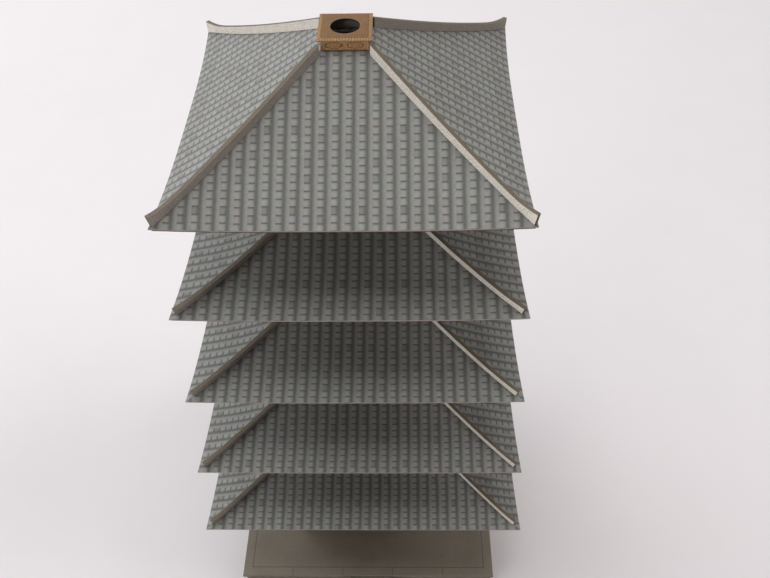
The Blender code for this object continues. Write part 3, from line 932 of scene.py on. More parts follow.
class PAGODA_OT_roofs(bpy.types.Operator):
    """Five roof sheets of printed card, with their cut edges"""
    bl_idname = "pagoda.roofs"
    bl_label = "Roof sheets"

    def execute(self, context):
        sizes = context.scene.pagoda_sizes
        for number in STOREYS:
            shape = Shape(TILES, BARE_CARD)
            surface, prints = sheet_round(roof_outline(storey_sizes(number)))
            rows, around = prints.shape[:2]

            # The print starts two columns further on at each side, and three rows further on at each roof
            side = np.arange(around) // (around // 4)
            prints[..., 0] += side[None, :, None] * 2 * sizes.tile_column / MM
            prints[..., 1] += number * 3 * sizes.tile_row / MM
            printed = np.arange(rows) < rows // 2 - 1
            shape.add(surface, np.repeat(np.where(printed, TILES, BARE_CARD), around), prints)
            make_piece("roof_sheet_%d" % number, shape, "roof_tile_print", "roof_%d" % number)
        return {"FINISHED"}


def ridge_strip(storey, corner):
    """A strip folded to a box and carried down a hip. Its crest leans out, and flicks up at its end."""
    number, (side_x, side_y) = storey.number, CORNERS[corner]
    share = np.linspace(0.0, 1.0, 48)
    start, end = storey.seat + RIDGE_START[number], storey.roof - RIDGE_SHORT[number]
    half = start + (end - start) * share
    width = RIDGE_WIDTH / 2
    off = width * sqrt(0.5)
    foot = roof_level(storey, half, 1.0) + GLUE_LINE
    edge = roof_level(storey, np.minimum(half + off, storey.roof), 1.0) + GLUE_LINE
    flick = RIDGE_FLICK[number] * np.maximum(0.0, 1.0 - (end - half) / RIDGE_FLICK_RUN) ** 2
    crest = foot + RIDGE_HEIGHT[number] - RIDGE_TAPER[number] * share + flick
    top = half + RIDGE_LEAN * share
    section = ((half, off, edge), (top, off, crest), (top, -off, crest), (half, -off, edge),
               (half, 0.0, foot))
    stations = np.stack([joined(side_x * (out + aside), side_y * (out - aside), level)
                         for out, aside, level in section], axis=1)
    length = np.concatenate([[0.0], np.cumsum(np.linalg.norm(np.diff(stations[:, 4], axis=0), axis=1))])

    # Across the print, a fold lies so many half widths and so many side heights from the top's middle
    halves, heights = np.array([(1, 1), (1, 0), (-1, 0), (-1, -1), (-2, -1), (-3, -1)]).T
    across = (halves * width + heights * (crest - edge)[:, None]) * side_x
    own_place = 40.0 * number + 200.0 * list(CORNERS).index(corner)
    return bars(stations[None]), grid_print(length[:, None] / MM + own_place, across / MM)


class PAGODA_OT_ridges(bpy.types.Operator):
    """Twenty hip ridges, folded from printed strips"""
    bl_idname = "pagoda.ridges"
    bl_label = "Hip ridges"

    def execute(self, context):
        for number in STOREYS:
            for corner in CORNERS:
                shape = Shape(RIDGES, TIMBER)
                surface, prints = ridge_strip(storey_sizes(number), corner)
                # The strips' ends take the dark timber ink as painted shade, for faces that the light leaves
                # dark
                shape.add(surface, RIDGES, prints, ends=TIMBER)
                make_piece("ridge_strip_%d_%s" % (number, corner), shape, "ridge_print",
                           "ridge_%d_%s" % (number, corner))
        return {"FINISHED"}


def basin_box():
    """The dew basin's four sides: printed outside, bare inside. Print is measured from each side's middle."""
    low, high = (np.array(corner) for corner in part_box("dew_basin_body"))
    half, inner = high[0], high[0] - BASIN_CARD
    points, faces = square_tube([(inner, low[2]), (half, low[2]), (half, high[2]), (inner, high[2])])
    corner = points[faces]
    sideways = np.abs(corner[..., 0].mean(1)) > np.abs(corner[..., 1].mean(1))
    u = np.where(sideways[:, None], corner[..., 1], corner[..., 0])
    prints = joined(u, corner[..., 2] - (low[2] + high[2]) / 2) / MM
    outside = np.all(np.isclose(np.abs(corner[..., :2]).max(-1), half), axis=1)
    shape = Shape(BRONZE, BARE_CARD)
    shape.add((points, faces), np.where(outside, BRONZE, BARE_CARD), prints)
    return shape


def basin_cover(sides=96):
    """The lid: square outside, with a low upright edge and a slope, and the spire's round hole inside."""
    low, high = (np.array(corner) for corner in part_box("dew_basin_lid"))
    angle = 2 * pi * np.arange(sides) / sides
    circle = joined(np.cos(angle), np.sin(angle))
    square = circle / np.abs(circle).max(-1, keepdims=True)
    loops = ((square, high[0], low[2]), (square, high[0], low[2] + LID_EDGE),
             (square, high[0] - LID_SLOPE, high[2]), (circle, SPIRE_HOLE_RADIUS + HOLE_RIM, high[2]),
             (circle, SPIRE_HOLE_RADIUS, high[2] - HOLE_RIM), (circle, SPIRE_HOLE_RADIUS, low[2]))
    points = np.concatenate([joined(half * loop[:, 0], half * loop[:, 1], z) for loop, half, z in loops])
    names = BRONZE_LID, BRONZE_LID, BRONZE_LID, BARE_CARD, SHADOW, SHADOW
    shape = Shape(BRONZE_LID, BARE_CARD, SHADOW)
    faces = grid_faces(len(loops), sides, wrap_rows=True, wrap_cols=True)
    shape.add((points, faces), np.repeat(names, sides))
    return shape


class PAGODA_OT_basin(bpy.types.Operator):
    """The dew basin: a square box and its lid, with the open round hole that waits for the spire"""
    bl_idname = "pagoda.basin"
    bl_label = "Dew basin"

    def execute(self, context):
        make_piece("dew_basin_box", basin_box(), "bronze_print", "dew_basin_body")
        make_piece("dew_basin_cover", basin_cover(), "bronze_print", "dew_basin_lid")
        return {"FINISHED"}


# Stonework

def column_centres(storey):
    """Centres of the columns that one side owns: two beside the door, and the right-hand corner's."""
    line = storey.wall - COLUMN_INSET
    return [(-BAY * storey.wall, -line), (BAY * storey.wall, -line), (line, -line)]


def podium_stonework(joints):
    """The podium's base course and walls, with pillars under the kerb's joints and at the corners."""
    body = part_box("podium_body")[1]
    base, wall, fold, relief = body.x, PODIUM_WALL_HALF, PODIUM_FOLD, PODIUM_WALL_HALF + PILLAR_RELIEF
    shape = Shape(STONE)
    shape.add(square_block([(base - fold, 0.0), (base, fold), (base, PODIUM_BASE_HEIGHT - fold),
                            (base - fold, PODIUM_BASE_HEIGHT), (wall, PODIUM_BASE_HEIGHT), (wall, body.z)]))
    panels = PODIUM_BASE_HEIGHT - BITE, body.z
    shape.add_sides(front_blocks(centred(joints, PILLAR_HALF), (wall - BITE, relief), panels))
    shape.add_sides(blocks((wall - CORNER_PILLAR, relief), (-relief, CORNER_PILLAR - wall), panels))
    return shape


def podium_top(low, high):
    """The podium's kerbed top, whose edges are folds."""
    fold = PODIUM_FOLD
    shape = Shape(KERB)
    shape.add(square_block([(high.x - fold, low.z), (high.x, low.z + fold), (high.x, high.z - fold),
                            (high.x - fold, high.z)]))
    return shape


def column_bases(level, radius):
    """Round stones under the ground storey's columns."""
    shape = Shape(STONE)
    shape.add_sides(turned_posts(column_centres(storey_sizes(GROUND_STOREY)), (radius, radius, 0.9 * radius),
                                 (level, level + COLUMN_BASE_EDGE, level + COLUMN_BASE_HEIGHT), sides=24))
    return shape


class PAGODA_OT_podium(bpy.types.Operator):
    """The stone podium: base course, pillars between its panels, kerbed top and column bases"""
    bl_idname = "pagoda.podium"
    bl_label = "Podium"

    def execute(self, context):
        low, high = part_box("podium_cap")
        joints = high.x * (2 * np.arange(1, KERB_STONES) / KERB_STONES - 1)
        radius = context.scene.pagoda_sizes.column_radius * COLUMN_BASE_SHARE
        make_piece("podium_stonework", podium_stonework(joints), "stone_print", "podium_body")
        make_piece("podium_top", podium_top(low, high), "stone_print", "podium_cap")
        make_piece("column_bases", column_bases(high.z, radius), "stone_print")
        return {"FINISHED"}


def steps_nosings():
    """Nosings on the treads of the four flights, and a cap up the slope of each cheek and over its top."""
    low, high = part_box("steps_right")
    wide, front, top = high.y - CHEEK_WIDTH, high.x - CHEEK_RISE, high.z - CHEEK_RISE
    tread = np.arange(STEP_COUNT)
    edge, level = front - tread * (front - low.x) / STEP_COUNT, (tread + 1) * top / STEP_COUNT
    shape = Shape(STONE)
    shape.add_sides(front_blocks((BITE - wide, wide - BITE),
                                 (edge - TREAD_NOSING_BACK, edge + TREAD_NOSING_REACH),
                                 (level - TREAD_NOSING_DEPTH, level + TREAD_NOSING_RISE)))
    inner, outer = centred(wide, CHEEK_CAP_HALF)
    section = np.array([(inner, -BITE), (inner, CHEEK_CAP), (outer, CHEEK_CAP), (outer, -BITE)])
    path = [(front + CHEEK_RISE, level[0]), (low.x + CHEEK_TOP_SHARE * front, high.z), (low.x, high.z)]
    for hand in (-1, 1):
        shape.add_sides(on_wall(swept(section * (hand, 1), path)))
    return shape


class PAGODA_OT_steps(bpy.types.Operator):
    """Stone print on the four flights of steps, with nosings on their treads and caps on their cheeks"""
    bl_idname = "pagoda.steps"
    bl_label = "Steps"

    def execute(self, context):
        for side in ("front", "right", "back", "left"):
            dress_node("steps_" + side, STONE)
        make_piece("steps_nosings", steps_nosings(), "stone_print")
        return {"FINISHED"}


# Timberwork

def side_ring(storey, reach, level):
    """A beam of square section round the tower: reach is its (inner, outer) distance from the wall's face."""
    inner, outer = storey.wall + reach[0], storey.wall + reach[1]
    return square_tube([(inner, level[0]), (outer, level[0]), (outer, level[1]), (inner, level[1])])


def panelled_doors(storey, half_bay, low, high):
    """A pair of doors: jambs and a head, a board for each leaf, and the stiles and rails round its panels."""
    back, jamb, gap = storey.wall - BITE, JAMB_SHARE * half_bay, DOOR_GAP
    frame_out, leaf = storey.wall + JAMB_RELIEF, half_bay - jamb
    left = np.array([-half_bay, half_bay - jamb])
    yield front_blocks((left, left + jamb), (back, frame_out), (low, high)), TIMBER
    yield front_blocks((-leaf, leaf), (back, frame_out), (high - jamb, high)), TIMBER
    head = high - jamb
    board = np.array([-leaf, gap])
    yield front_blocks((board, board + leaf - gap), (back, storey.wall + BOARD_RELIEF), (low, head)), BOARDS
    stile = STILE_SHARE
    middles = leaf * np.array([-1.0 + stile, -0.5, -stile, stile, 0.5, 1.0 - stile])
    stiles = centred(middles, stile * leaf)
    yield front_blocks(stiles, (back, storey.wall + STILE_RELIEF), (low, head)), BOARDS
    rails, rail = low + (head - low) * np.array(DOOR_RAILS), RAIL_SHARE * (head - low)
    yield front_blocks((-leaf, leaf), (back, storey.wall + RAIL_RELIEF), (rails, rails + rail)), BOARDS


def lattice_window(storey, left, right, low, high, pitch):
    """A window of upright bars before a dark ground, in a frame of two posts and two rails."""
    out, edge = storey.wall, WINDOW_FRAME
    yield front_blocks((left, right), (out - BITE, out + WINDOW_GROUND_RELIEF), (low, high)), SHADOW
    sides, rails = np.array([left, right - edge]), np.array([low, high - edge])
    yield front_blocks((sides, sides + edge), (out - BITE, out + WINDOW_FRAME), (low, high)), TIMBER
    yield front_blocks((left, right), (out - BITE, out + WINDOW_RAIL_RELIEF), (rails, rails + edge)), TIMBER
    count = int((right - left - 2 * edge) / pitch)
    bar = left + edge + (right - left - 2 * edge) * (np.arange(count) + 0.5) / count
    yield front_blocks(centred(bar, BAR_SHARE * pitch), (out, out + BAR_RELIEF), (low, high)), LATTICE


def timber_frame(storey, sizes):
    """One storey's columns, beams, doors and lattice windows, in relief on its plaster."""
    number, wall, low, high = storey.number, storey.wall, storey.deck, storey.head
    tall, plate, beam = high - low, high - PLATE_HEIGHT, BEAM_HEIGHT[number]
    radius = sizes.column_radius * COLUMN_SHARE[number]
    sill, lintel = low + SILL_SHARE[number] * tall, low + LINTEL_SHARE * tall
    shape = Shape(TIMBER, BOARDS, LATTICE, SHADOW)
    shape.add_sides(turned_posts(column_centres(storey), (radius, radius, COLUMN_TAPER * radius),
                                 (low, low + TAPER_START * tall, plate)))
    for level in (low, sill - beam, lintel):
        shape.add(side_ring(storey, (-BITE, radius * 0.95), (level, level + beam)))
    shape.add(side_ring(storey, (-BITE, TIE_RELIEF), (plate - TIE_HEIGHT, plate)))
    shape.add(side_ring(storey, (-BITE, radius + PLATE_REACH), (plate, high)))
    nosing = np.array([-1.0, 1.0]) * (wall + radius / 2 + NOSING_HALF)
    shape.add_sides(front_blocks(centred(nosing, NOSING_HALF), (wall - 0.6 * MM, wall + COLUMN_INSET),
                                 (plate - TIE_HEIGHT, plate)))
    bay = BAY * wall
    surfaces = [*panelled_doors(storey, bay - radius, low + beam, lintel)]
    for left, right in ((radius - wall, -bay - radius), (bay + radius, wall - radius)):
        margin = WINDOW_MARGIN * (right - left)
        surfaces += lattice_window(storey, left + margin, right - margin, sill, lintel, sizes.lattice_pitch)
    for surface, finish in surfaces:
        shape.add_sides(surface, finish)
    return shape


class PAGODA_OT_walls(bpy.types.Operator):
    """Plastered walls with columns, beams, panelled doors and lattice windows in relief"""
    bl_idname = "pagoda.walls"
    bl_label = "Walls"

    def execute(self, context):
        for number in STOREYS:
            dress_node("walls_%d" % number, PLASTER)
            shape = timber_frame(storey_sizes(number), context.scene.pagoda_sizes)
            make_piece("timber_frame_%d" % number, shape, "wall_print")
        return {"FINISHED"}


def bearing_blocks(along, out, foot, half, height):
    """Square bearing blocks, whose sides slope in over the lower part."""
    centres = joined(along, out, foot).reshape(-1, 1, 1, 3)
    wide = np.array([0.66, 1.0, 1.0])[:, None, None] * half * SQUARE
    level = np.array([0.0, 0.45, 1.0])[:, None] * height
    return bars(centres + joined(wide[..., 0], wide[..., 1], level))


def bracket_arms(ends, beside, foot, height, half=ARM_HALF, curl=ARM_CURL):
    """Bracket arms between ends: the underside turns up at both in a parabola as long as curl."""
    places = np.broadcast_arrays(*ends, beside, foot, height)
    start, end, beside, foot, height = (np.ravel(place) for place in places)
    share = np.array([[0.0], [0.33], [0.67], [1.0]])
    rise = 0.6 * height * (1.0 - share) ** 2
    along = np.concatenate([start + curl * share, end - curl * share[::-1]])
    under, top = foot + np.concatenate([rise, rise[::-1]]), foot + height
    stations = np.stack([joined(along, beside + aside, level) for aside, level in
                         ((-half, under), (half, under), (half, top), (-half, top))], axis=2)
    return bars(stations.transpose(1, 0, 2, 3))


def bracket_set(foot, tier, spread, stretch=1.0):
    """A set of brackets of three steps, along and out from its column: blocks, arms and a tail rafter.

    spread lists on which sides of the column it has wall arms, and stretch lengthens a corner's diagonal set.
    """
    step_1, step_2, step_3 = (stretch * reach for reach in BRACKET_STEPS)
    first, second, third = (foot + share * tier for share in ARM_FEET)
    height, seat, rest = ARM_HEIGHT * tier, BLOCK_HEIGHT * tier, ARM_REST
    reach = [step_1 + rest, step_2 + rest, step_2 + 2 * rest]
    surfaces = [crossed(bracket_arms((-ARM_BACK, reach), 0.0, [first, second, third], height)),
                swept(oblong(ARM_HALF, 0.0, -TAIL_RAFTER_DEPTH),
                      [(-ARM_BACK, foot + TAIL_RAFTER_ENDS[0] * tier),
                       (step_3 + TAIL_RAFTER_REACH, foot + TAIL_RAFTER_ENDS[1] * tier)]),
                bearing_blocks(0.0, [step_1, step_2, step_3],
                               [first + height, second + height, foot + 2.36 * tier], STEP_BLOCK_HALF, seat)]
    if stretch > 1.0:
        return surfaces
    low, high = min(spread), max(spread)
    short, long = SHORT_ARM, LONG_ARM
    surfaces.append(bracket_arms(([short * low, long * low], [short * high, long * high]), 0.0,
                                 [first, second], height))
    surfaces.append(bracket_arms((short * low, short * high), [step_1, step_2, step_3],
                                 [second, third, foot + 2.62 * tier], [height, height, 0.38 * tier]))
    ends = np.array([side for side in (low, high) if side])
    for along, out, level in ((short, 0.0, first + height), (long, 0.0, second + height),
                              (short, step_1, second + height), (short, step_2, third + height)):
        surfaces.append(bearing_blocks(ends * (along - ARM_BLOCK_HALF), out, level, ARM_BLOCK_HALF, seat))
    return surfaces


def battens(reach):
    """Where the ceilings' battens are along a side that reaches so far from its middle."""
    places = BATTEN_PITCH * (np.arange(-40, 40) + 0.5)
    return places[np.abs(places) < reach]


def add_beams_and_ceilings(shape, storey, tier):
    """The wall behind the brackets, beams and purlin, a ceiling with battens, and ribs up to the purlin."""
    wall, foot, purlin_top = storey.wall, storey.bracket_foot, storey.bracket_head - BASE_RAFTER_DEPTH
    steps, reach = (0.0, *BRACKET_STEPS), storey.purlin - wall
    shape.add(side_ring(storey, BRACKET_WALL, (foot, storey.bracket_head)), PLASTER)
    for step, low, high in BRACKET_BEAMS:
        shape.add(side_ring(storey, centred(steps[step], BRACKET_BEAM_HALF),
                            (foot + low * tier, foot + high * tier)))
    shape.add(side_ring(storey, (reach - PURLIN_HEIGHT, reach), (purlin_top - PURLIN_HEIGHT, purlin_top)))
    ceiling, second, board = foot + CEILING_FOOT * tier, wall + BRACKET_STEPS[1], CEILING_BOARD
    shape.add(side_ring(storey, (-BITE, BRACKET_STEPS[1]), (ceiling, ceiling + board)), BOARDS)
    shape.add_sides(front_blocks(centred(battens(wall), BATTEN_HALF), (wall, second),
                                 (ceiling - BATTEN_DEPTH, ceiling + BITE)))
    inner, outer = (second, foot + RIB_FOOT * tier), (storey.purlin - PURLIN_HEIGHT / 2, purlin_top + board)
    shape.add_sides(on_wall(swept(oblong(RIB_HALF, 0.0, -RIB_DEPTH), (inner, outer), battens(second))))
    shape.add(square_tube([inner, outer, (outer[0], outer[1] + board), (inner[0], inner[1] + board)]), BOARDS)


def add_bracket_sets(shape, storey, tier):
    """Bracket sets on every column and diagonally at the corners, and struts with a block between them."""
    wall, foot = storey.wall, storey.bracket_foot
    bay, between = BAY * wall, wall * (1 + BAY) / 2
    for along, spread in ((-wall, (0, 1)), (-bay, (-1, 1)), (bay, (-1, 1)), (wall, (-1, 0))):
        for surface in bracket_set(foot, tier, spread):
            shape.add_sides(on_wall(surface, along, wall))
    for surface in bracket_set(foot, tier, (), stretch=sqrt(2)):
        shape.add_sides(on_corner(surface, wall))
    struts = np.array([-between, 0.0, between])
    on_columns = bearing_blocks([-bay, bay, wall], 0.0, foot, COLUMN_BLOCK_HALF, 0.5 * tier)
    shape.add_sides(on_wall(on_columns, 0.0, wall))
    shape.add_sides(front_blocks(centred(struts, BETWEEN_HALF), (wall - BITE, wall + BETWEEN_RELIEF),
                                 (foot, foot + BETWEEN_TOP * tier)))
    on_struts = bearing_blocks(struts, BITE, foot + BETWEEN_BLOCK_FOOT * tier, BETWEEN_BLOCK_HALF,
                               BETWEEN_BLOCK_HEIGHT * tier)
    shape.add_sides(on_wall(on_struts, 0.0, wall))


class PAGODA_OT_brackets(bpy.types.Operator):
    """Bracket sets of three steps on every column, with their beams, ceilings and purlin"""
    bl_idname = "pagoda.brackets"
    bl_label = "Brackets"

    def execute(self, context):
        for number in STOREYS:
            storey = storey_sizes(number)
            tier = (storey.bracket_head - BASE_RAFTER_DEPTH - PURLIN_HEIGHT - storey.bracket_foot) / 3
            shape = Shape(TIMBER, BOARDS, PLASTER)
            add_beams_and_ceilings(shape, storey, tier)
            add_bracket_sets(shape, storey, tier)
            make_piece("bracket_sets_%d" % number, shape, "timber_print", "brackets_%d" % number)
        return {"FINISHED"}


def hanging_bars(storey, half, across, depth, aside):
    """Bars under the eaves. half and across have a row for each station, and aside is half a bar's width."""
    corners = [eaves_points(storey, half, across, drop) + hand * np.array(aside)
               for hand, drop in ((-1, -BITE), (1, -BITE), (1, depth), (-1, depth))]
    return bars(np.stack(corners, axis=2).transpose(1, 0, 2, 3))


def rafters(storey, start, end, depth, width, pitch):
    """A row of rafters under the front eaves, from start or from the hip, whichever is further out."""
    count = int(end / pitch)
    x = pitch * (np.arange(-count, count) + 0.5)
    first = np.maximum(start, np.abs(x) + width / 2)
    x, first = x[first < end - width], first[first < end - width]
    half = first + (end - first) * np.linspace(0.0, 1.0, 5)[:, None]
    return hanging_bars(storey, half, x / half, depth, (width / 2, 0.0, 0.0))


def hip_rafter(storey, start, end, depth, width):
    """The rafter under the front right hip: a bar as deep as depth, whose top follows the hip's line."""
    half = np.linspace(start, end, 9)[:, None]
    return hanging_bars(storey, half, 1.0, depth, (width / 2 * sqrt(0.5), width / 2 * sqrt(0.5), 0.0))


def eave_board(storey, ends, bottom, cols=32):
    """A board round the tower that follows the eaves' curve, between the half widths of its ends."""
    across, (inner, outer) = np.linspace(-1.0, 1.0, cols + 1), ends
    outline = (inner, -BITE), (outer, -BITE), (outer, bottom), (inner, bottom)
    return sheet_round(np.stack([eaves_points(storey, half, across, drop) for half, drop in outline]))[0]


def eaves_rafters(storey, sizes):
    """One storey's eaves: a boarded sheet, base rafters, flying rafters, edge boards and hip rafters."""
    width, pitch = sizes.rafter_width, sizes.tile_column / 2
    outer, across = storey.roof - EAVES_INSET, np.linspace(-1.0, 1.0, 33)[None]
    half = np.linspace(outer, storey.purlin, 16)[:, None]
    level = storey.bracket_head + GLUE_LINE
    lip = joined(storey.wall * across, -storey.wall, np.array([[level + EAVES_CARD], [level]]))
    top, under = eaves_points(storey, half, across, -EAVES_CARD), eaves_points(storey, half, across)
    surface, prints = sheet_round(np.concatenate([top, lip, under[::-1]]))
    shape = Shape(TIMBER, BOARDS)
    shape.add(surface, BOARDS, prints)
    start = storey.purlin - RAFTER_START
    middle = storey.purlin + FLYING_RAFTER_SHARE * (outer - storey.purlin)
    shape.add_sides(rafters(storey, start, middle, BASE_RAFTER_DEPTH, width, pitch))
    shape.add_sides(rafters(storey, middle - BITE, outer - RAFTER_INSET, FLYING_RAFTER_DEPTH,
                            FLYING_RAFTER_WIDTH * width, pitch))
    shape.add(eave_board(storey, middle + np.array(MIDDLE_BOARD), MIDDLE_BOARD_DEPTH))
    shape.add(eave_board(storey, outer + np.array(EDGE_BOARD), EDGE_BOARD_DEPTH))
    shape.add_sides(hip_rafter(storey, start, outer - HIP_RAFTER_INSET, HIP_RAFTER_DEPTH, 2 * width))
    return shape


class PAGODA_OT_eaves(bpy.types.Operator):
    """Undersides of the eaves: boards, base rafters, flying rafters, edge boards and hip rafters"""
    bl_idname = "pagoda.eaves"
    bl_label = "Eaves"

    def execute(self, context):
        for number in STOREYS:
            shape = eaves_rafters(storey_sizes(number), context.scene.pagoda_sizes)
            make_piece("eaves_rafters_%d" % number, shape, "timber_print", "eaves_%d" % number)
        return {"FINISHED"}


def round_rail(half, line, level, radius):
    """The front side's round top rail: its ends run past the corners and turn up a little, in a parabola."""
    share = np.array([-1.0, -0.985, -0.96, -0.92, 0.92, 0.96, 0.985, 1.0])
    lift = TOP_RAIL_LIFT * (np.maximum(0.0, np.abs(share) - 0.92) / 0.08) ** 2
    angle = 2 * pi * np.arange(8) / 8
    ring = [joined(half * share, -line + radius * cos(a), level + lift + radius * sin(a)) for a in angle]
    return bars(np.stack(ring, axis=1)[None])


def rail_caps(posts, line, level):
    """Caps on the railing's posts: bearing blocks upside down, so that they narrow towards the top."""
    points, *groups = bearing_blocks(posts, -line, -level, POST_CAP_HALF, POST_CAP_HEIGHT)
    return (points * np.array([1.0, 1.0, -1.0]), *groups)


def floor_boards(edge, inner, board):
    """Left, right and inner ends of the front side's boards. Past the wall they run in to the diagonal."""
    count = int(edge / board) + 1
    left = board * np.arange(-count, count)
    left, right = np.clip(left, -edge, edge), np.clip(left + board - BOARD_GAP, -edge, edge)
    left, right = left[right > left], right[right > left]
    return left, right, np.maximum(inner, np.minimum(np.abs(left), np.abs(right)))


def add_balcony_floor(shape, storey, board):
    """A balcony's skirt, the beams and arms that carry it, its boards and the mitre at its corners."""
    wall, deck, foot = storey.wall, storey.deck, storey.foot
    under, edge = deck - DECK_CARD, wall + BALCONY_REACH
    shape.add(side_ring(storey, (GLUE_LINE, SKIRT_REACH), (foot, under)), BOARDS)
    shape.add(side_ring(storey, (GLUE_LINE, SKIRTING_REACH), (foot, foot + SKIRTING_HEIGHT)))
    for reach in DECK_BEAMS:
        shape.add(side_ring(storey, reach, (under - DECK_BEAM_DEPTH, under + BITE)))
    places = wall * np.linspace(-1.0, 1.0, DECK_ARM_COUNT)
    arms = bracket_arms((wall + DECK_ARM_START, wall + DECK_ARM_END), places,
                        under - DECK_ARM_DROP, DECK_ARM_HEIGHT, half=DECK_ARM_HALF, curl=DECK_ARM_CURL)
    shape.add_sides(on_wall(crossed(arms)))
    left, right, inner = floor_boards(edge, wall + GLUE_LINE, board)
    shape.add_sides(front_blocks((left, right), (inner, edge), (under, deck)), BOARDS)
    mitre = (0.0, deck), (BALCONY_REACH * sqrt(2) - MITRE_HALF, deck)
    shape.add_sides(on_corner(swept(oblong(MITRE_HALF, -0.5 * MM, 0.05 * MM), mitre), wall))


def add_railing(shape, storey):
    """A balcony's railing: two square rails, a round top rail, capped posts and the struts between them."""
    deck, line = storey.deck, storey.wall + RAIL_REACH
    for half, low, high in LOWER_RAILS:
        shape.add(side_ring(storey, centred(RAIL_REACH, half), (deck + low, deck + high)))
    shape.add_sides(round_rail(line + TOP_RAIL_REACH, line, deck + TOP_RAIL_RISE, TOP_RAIL_RADIUS))
    posts, struts = line * np.array([-1.0, -1.0 / 3.0, 1.0 / 3.0]), line * (np.arange(-8, 9) / 9)
    shape.add_sides(front_blocks(centred(posts, POST_HALF), centred(line, POST_HALF),
                                 (deck, deck + POST_HEIGHT)))
    shape.add_sides(rail_caps(posts, line, deck + POST_CAP_TOP))
    shape.add_sides(front_blocks(centred(struts, STRUT_HALF), centred(line, STRUT_HALF),
                                 (deck + STRUT_FOOT, deck + STRUT_TOP)))


class PAGODA_OT_balconies(bpy.types.Operator):
    """Balconies of the upper storeys: skirt, supports, floor boards and railing"""
    bl_idname = "pagoda.balconies"
    bl_label = "Balconies"

    def execute(self, context):
        for number in STOREYS[1:]:
            storey = storey_sizes(number)
            shape = Shape(TIMBER, BOARDS)
            add_balcony_floor(shape, storey, context.scene.pagoda_sizes.board_width)
            add_railing(shape, storey)
            make_piece("balcony_floor_and_rails_%d" % number, shape, "timber_print", "balcony_%d" % number)
        return {"FINISHED"}


# Stage

def make_floor(ink):
    """A flat sheet, far larger than the view."""
    mesh = bpy.data.meshes.new("floor")
    mesh.from_pydata([(FLOOR_HALF * x, FLOOR_HALF * y, 0.0) for x, y in SQUARE], [], [(0, 1, 2, 3)])
    floor = bpy.data.objects.new("floor", mesh)
    bpy.context.scene.collection.objects.link(floor)
    mesh.materials.append(plain_print("floor_paper", ink.floor, 40 * MM, 0.006, 0.004, roughness=0.85))


def make_light(name, towards, power, colour, distance=2.0, size=1.2, spread=180):
    """A soft square light: towards is its direction from the model, and spread its angle in degrees."""
    light = bpy.data.lights.new(name, "AREA")
    light.shape = "SQUARE"
    light.size = size
    light.energy = power
    light.spread = radians(spread)
    light.color = colour
    lamp = bpy.data.objects.new(name, light)
    lamp.location = LIGHTS_AIM + distance * Vector(towards).normalized()
    lamp.rotation_euler = (LIGHTS_AIM - lamp.location).to_track_quat("-Z", "Y").to_euler()
    bpy.context.scene.collection.objects.link(lamp)


def make_lights(scene):
    """Windows behind, to the left and to the right, a ceiling and a little light from the room."""
    world = bpy.data.worlds.new("room")
    scene.world = world
    world.use_nodes = True
    room = world.node_tree.nodes["Background"].inputs
    room["Color"].default_value = (1.0, 0.97, 0.93, 1.0)
    room["Strength"].default_value = 0.02
    make_light("window_behind", (0.0, 0.75, 0.66), 5.2, (1.0, 0.985, 0.985), distance=4.5, size=2.7,
               spread=40)
    make_light("window_left_behind", (-0.55, 0.55, 0.63), 13.0, (0.965, 0.985, 1.0))
    make_light("window_left_behind_low", (-0.66, 0.66, 0.34), 5.1, (0.965, 0.985, 1.0))
    make_light("window_left", (-0.7, 0.0, 0.71), 8.0, (0.95, 0.99, 1.0))
    make_light("window_right", (0.7, 0.0, 0.71), 12.7, (1.0, 0.985, 0.975))
    make_light("window_front_left", (-0.66, -0.66, 0.34), 10.6, (1.0, 0.985, 0.97))
    make_light("ceiling", (0.0, 0.0, 1.0), 13.6, (1.0, 0.985, 0.975))


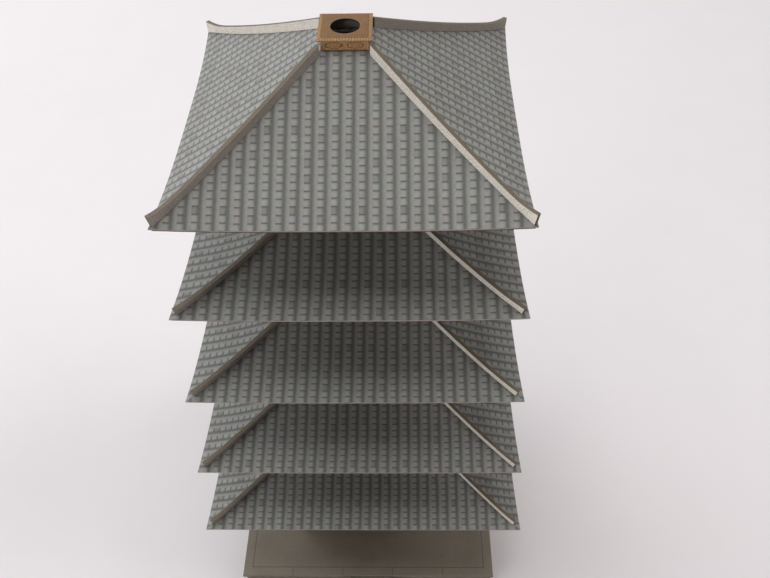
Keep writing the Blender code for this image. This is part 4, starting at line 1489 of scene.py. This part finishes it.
def make_camera(scene, view):
    """Looks along the photograph's line of sight: heading, tilt and roll about the camera's own axes."""
    ahead = Vector((sin(view.turn) * cos(view.tilt), cos(view.turn) * cos(view.tilt), -sin(view.tilt)))
    right = Vector((cos(view.turn), -sin(view.turn), 0.0))
    down = ahead.cross(right)
    rolled_right = cos(view.roll) * right + sin(view.roll) * down
    rolled_down = cos(view.roll) * down - sin(view.roll) * right
    data = bpy.data.cameras.new("camera")
    data.sensor_width = FILM_WIDTH
    data.lens = view.focal_pixels / PHOTO_WIDTH * FILM_WIDTH
    data.clip_start = 0.01
    camera = bpy.data.objects.new("camera", data)
    turn = Matrix((rolled_right, -rolled_down, -ahead)).transposed()
    camera.matrix_world = Matrix.Translation(view.place) @ turn.to_4x4()
    scene.collection.objects.link(camera)
    scene.camera = camera


class PAGODA_OT_stage(bpy.types.Operator):
    """Pale paper floor, soft light from windows and a ceiling, and the photograph's camera"""
    bl_idname = "pagoda.stage"
    bl_label = "Stage"

    def execute(self, context):
        scene = context.scene
        scene.view_settings.view_transform = "Standard"
        make_floor(scene.pagoda_colours)
        make_lights(scene)
        make_camera(scene, scene.pagoda_camera)
        return {"FINISHED"}


PIECES = (PAGODA_OT_stage, PAGODA_OT_podium, PAGODA_OT_steps, PAGODA_OT_walls, PAGODA_OT_brackets,
          PAGODA_OT_eaves, PAGODA_OT_balconies, PAGODA_OT_roofs, PAGODA_OT_ridges, PAGODA_OT_basin)


class PAGODA_PT_panel(bpy.types.Panel):
    """Lists the pieces in the order they are made"""
    bl_idname = "PAGODA_PT_panel"
    bl_label = "Card pagoda"
    bl_space_type = "VIEW_3D"
    bl_region_type = "UI"
    bl_category = "Pagoda"

    def draw(self, context):
        for piece in PIECES:
            self.layout.operator(piece.bl_idname)


CLASSES = (PagodaSizes, PagodaColours, PagodaCamera, *PIECES, PAGODA_PT_panel)


def register():
    for one in CLASSES:
        bpy.utils.register_class(one)
    bpy.types.Scene.pagoda_sizes = PointerProperty(type=PagodaSizes)
    bpy.types.Scene.pagoda_colours = PointerProperty(type=PagodaColours)
    bpy.types.Scene.pagoda_camera = PointerProperty(type=PagodaCamera)


def unregister():
    del bpy.types.Scene.pagoda_sizes
    del bpy.types.Scene.pagoda_colours
    del bpy.types.Scene.pagoda_camera
    for one in reversed(CLASSES):
        bpy.utils.unregister_class(one)


def main():
    register()
    for piece in PIECES:
        group, name = piece.bl_idname.split(".")
        getattr(getattr(bpy.ops, group), name)()


if __name__ == "__main__":
    main()
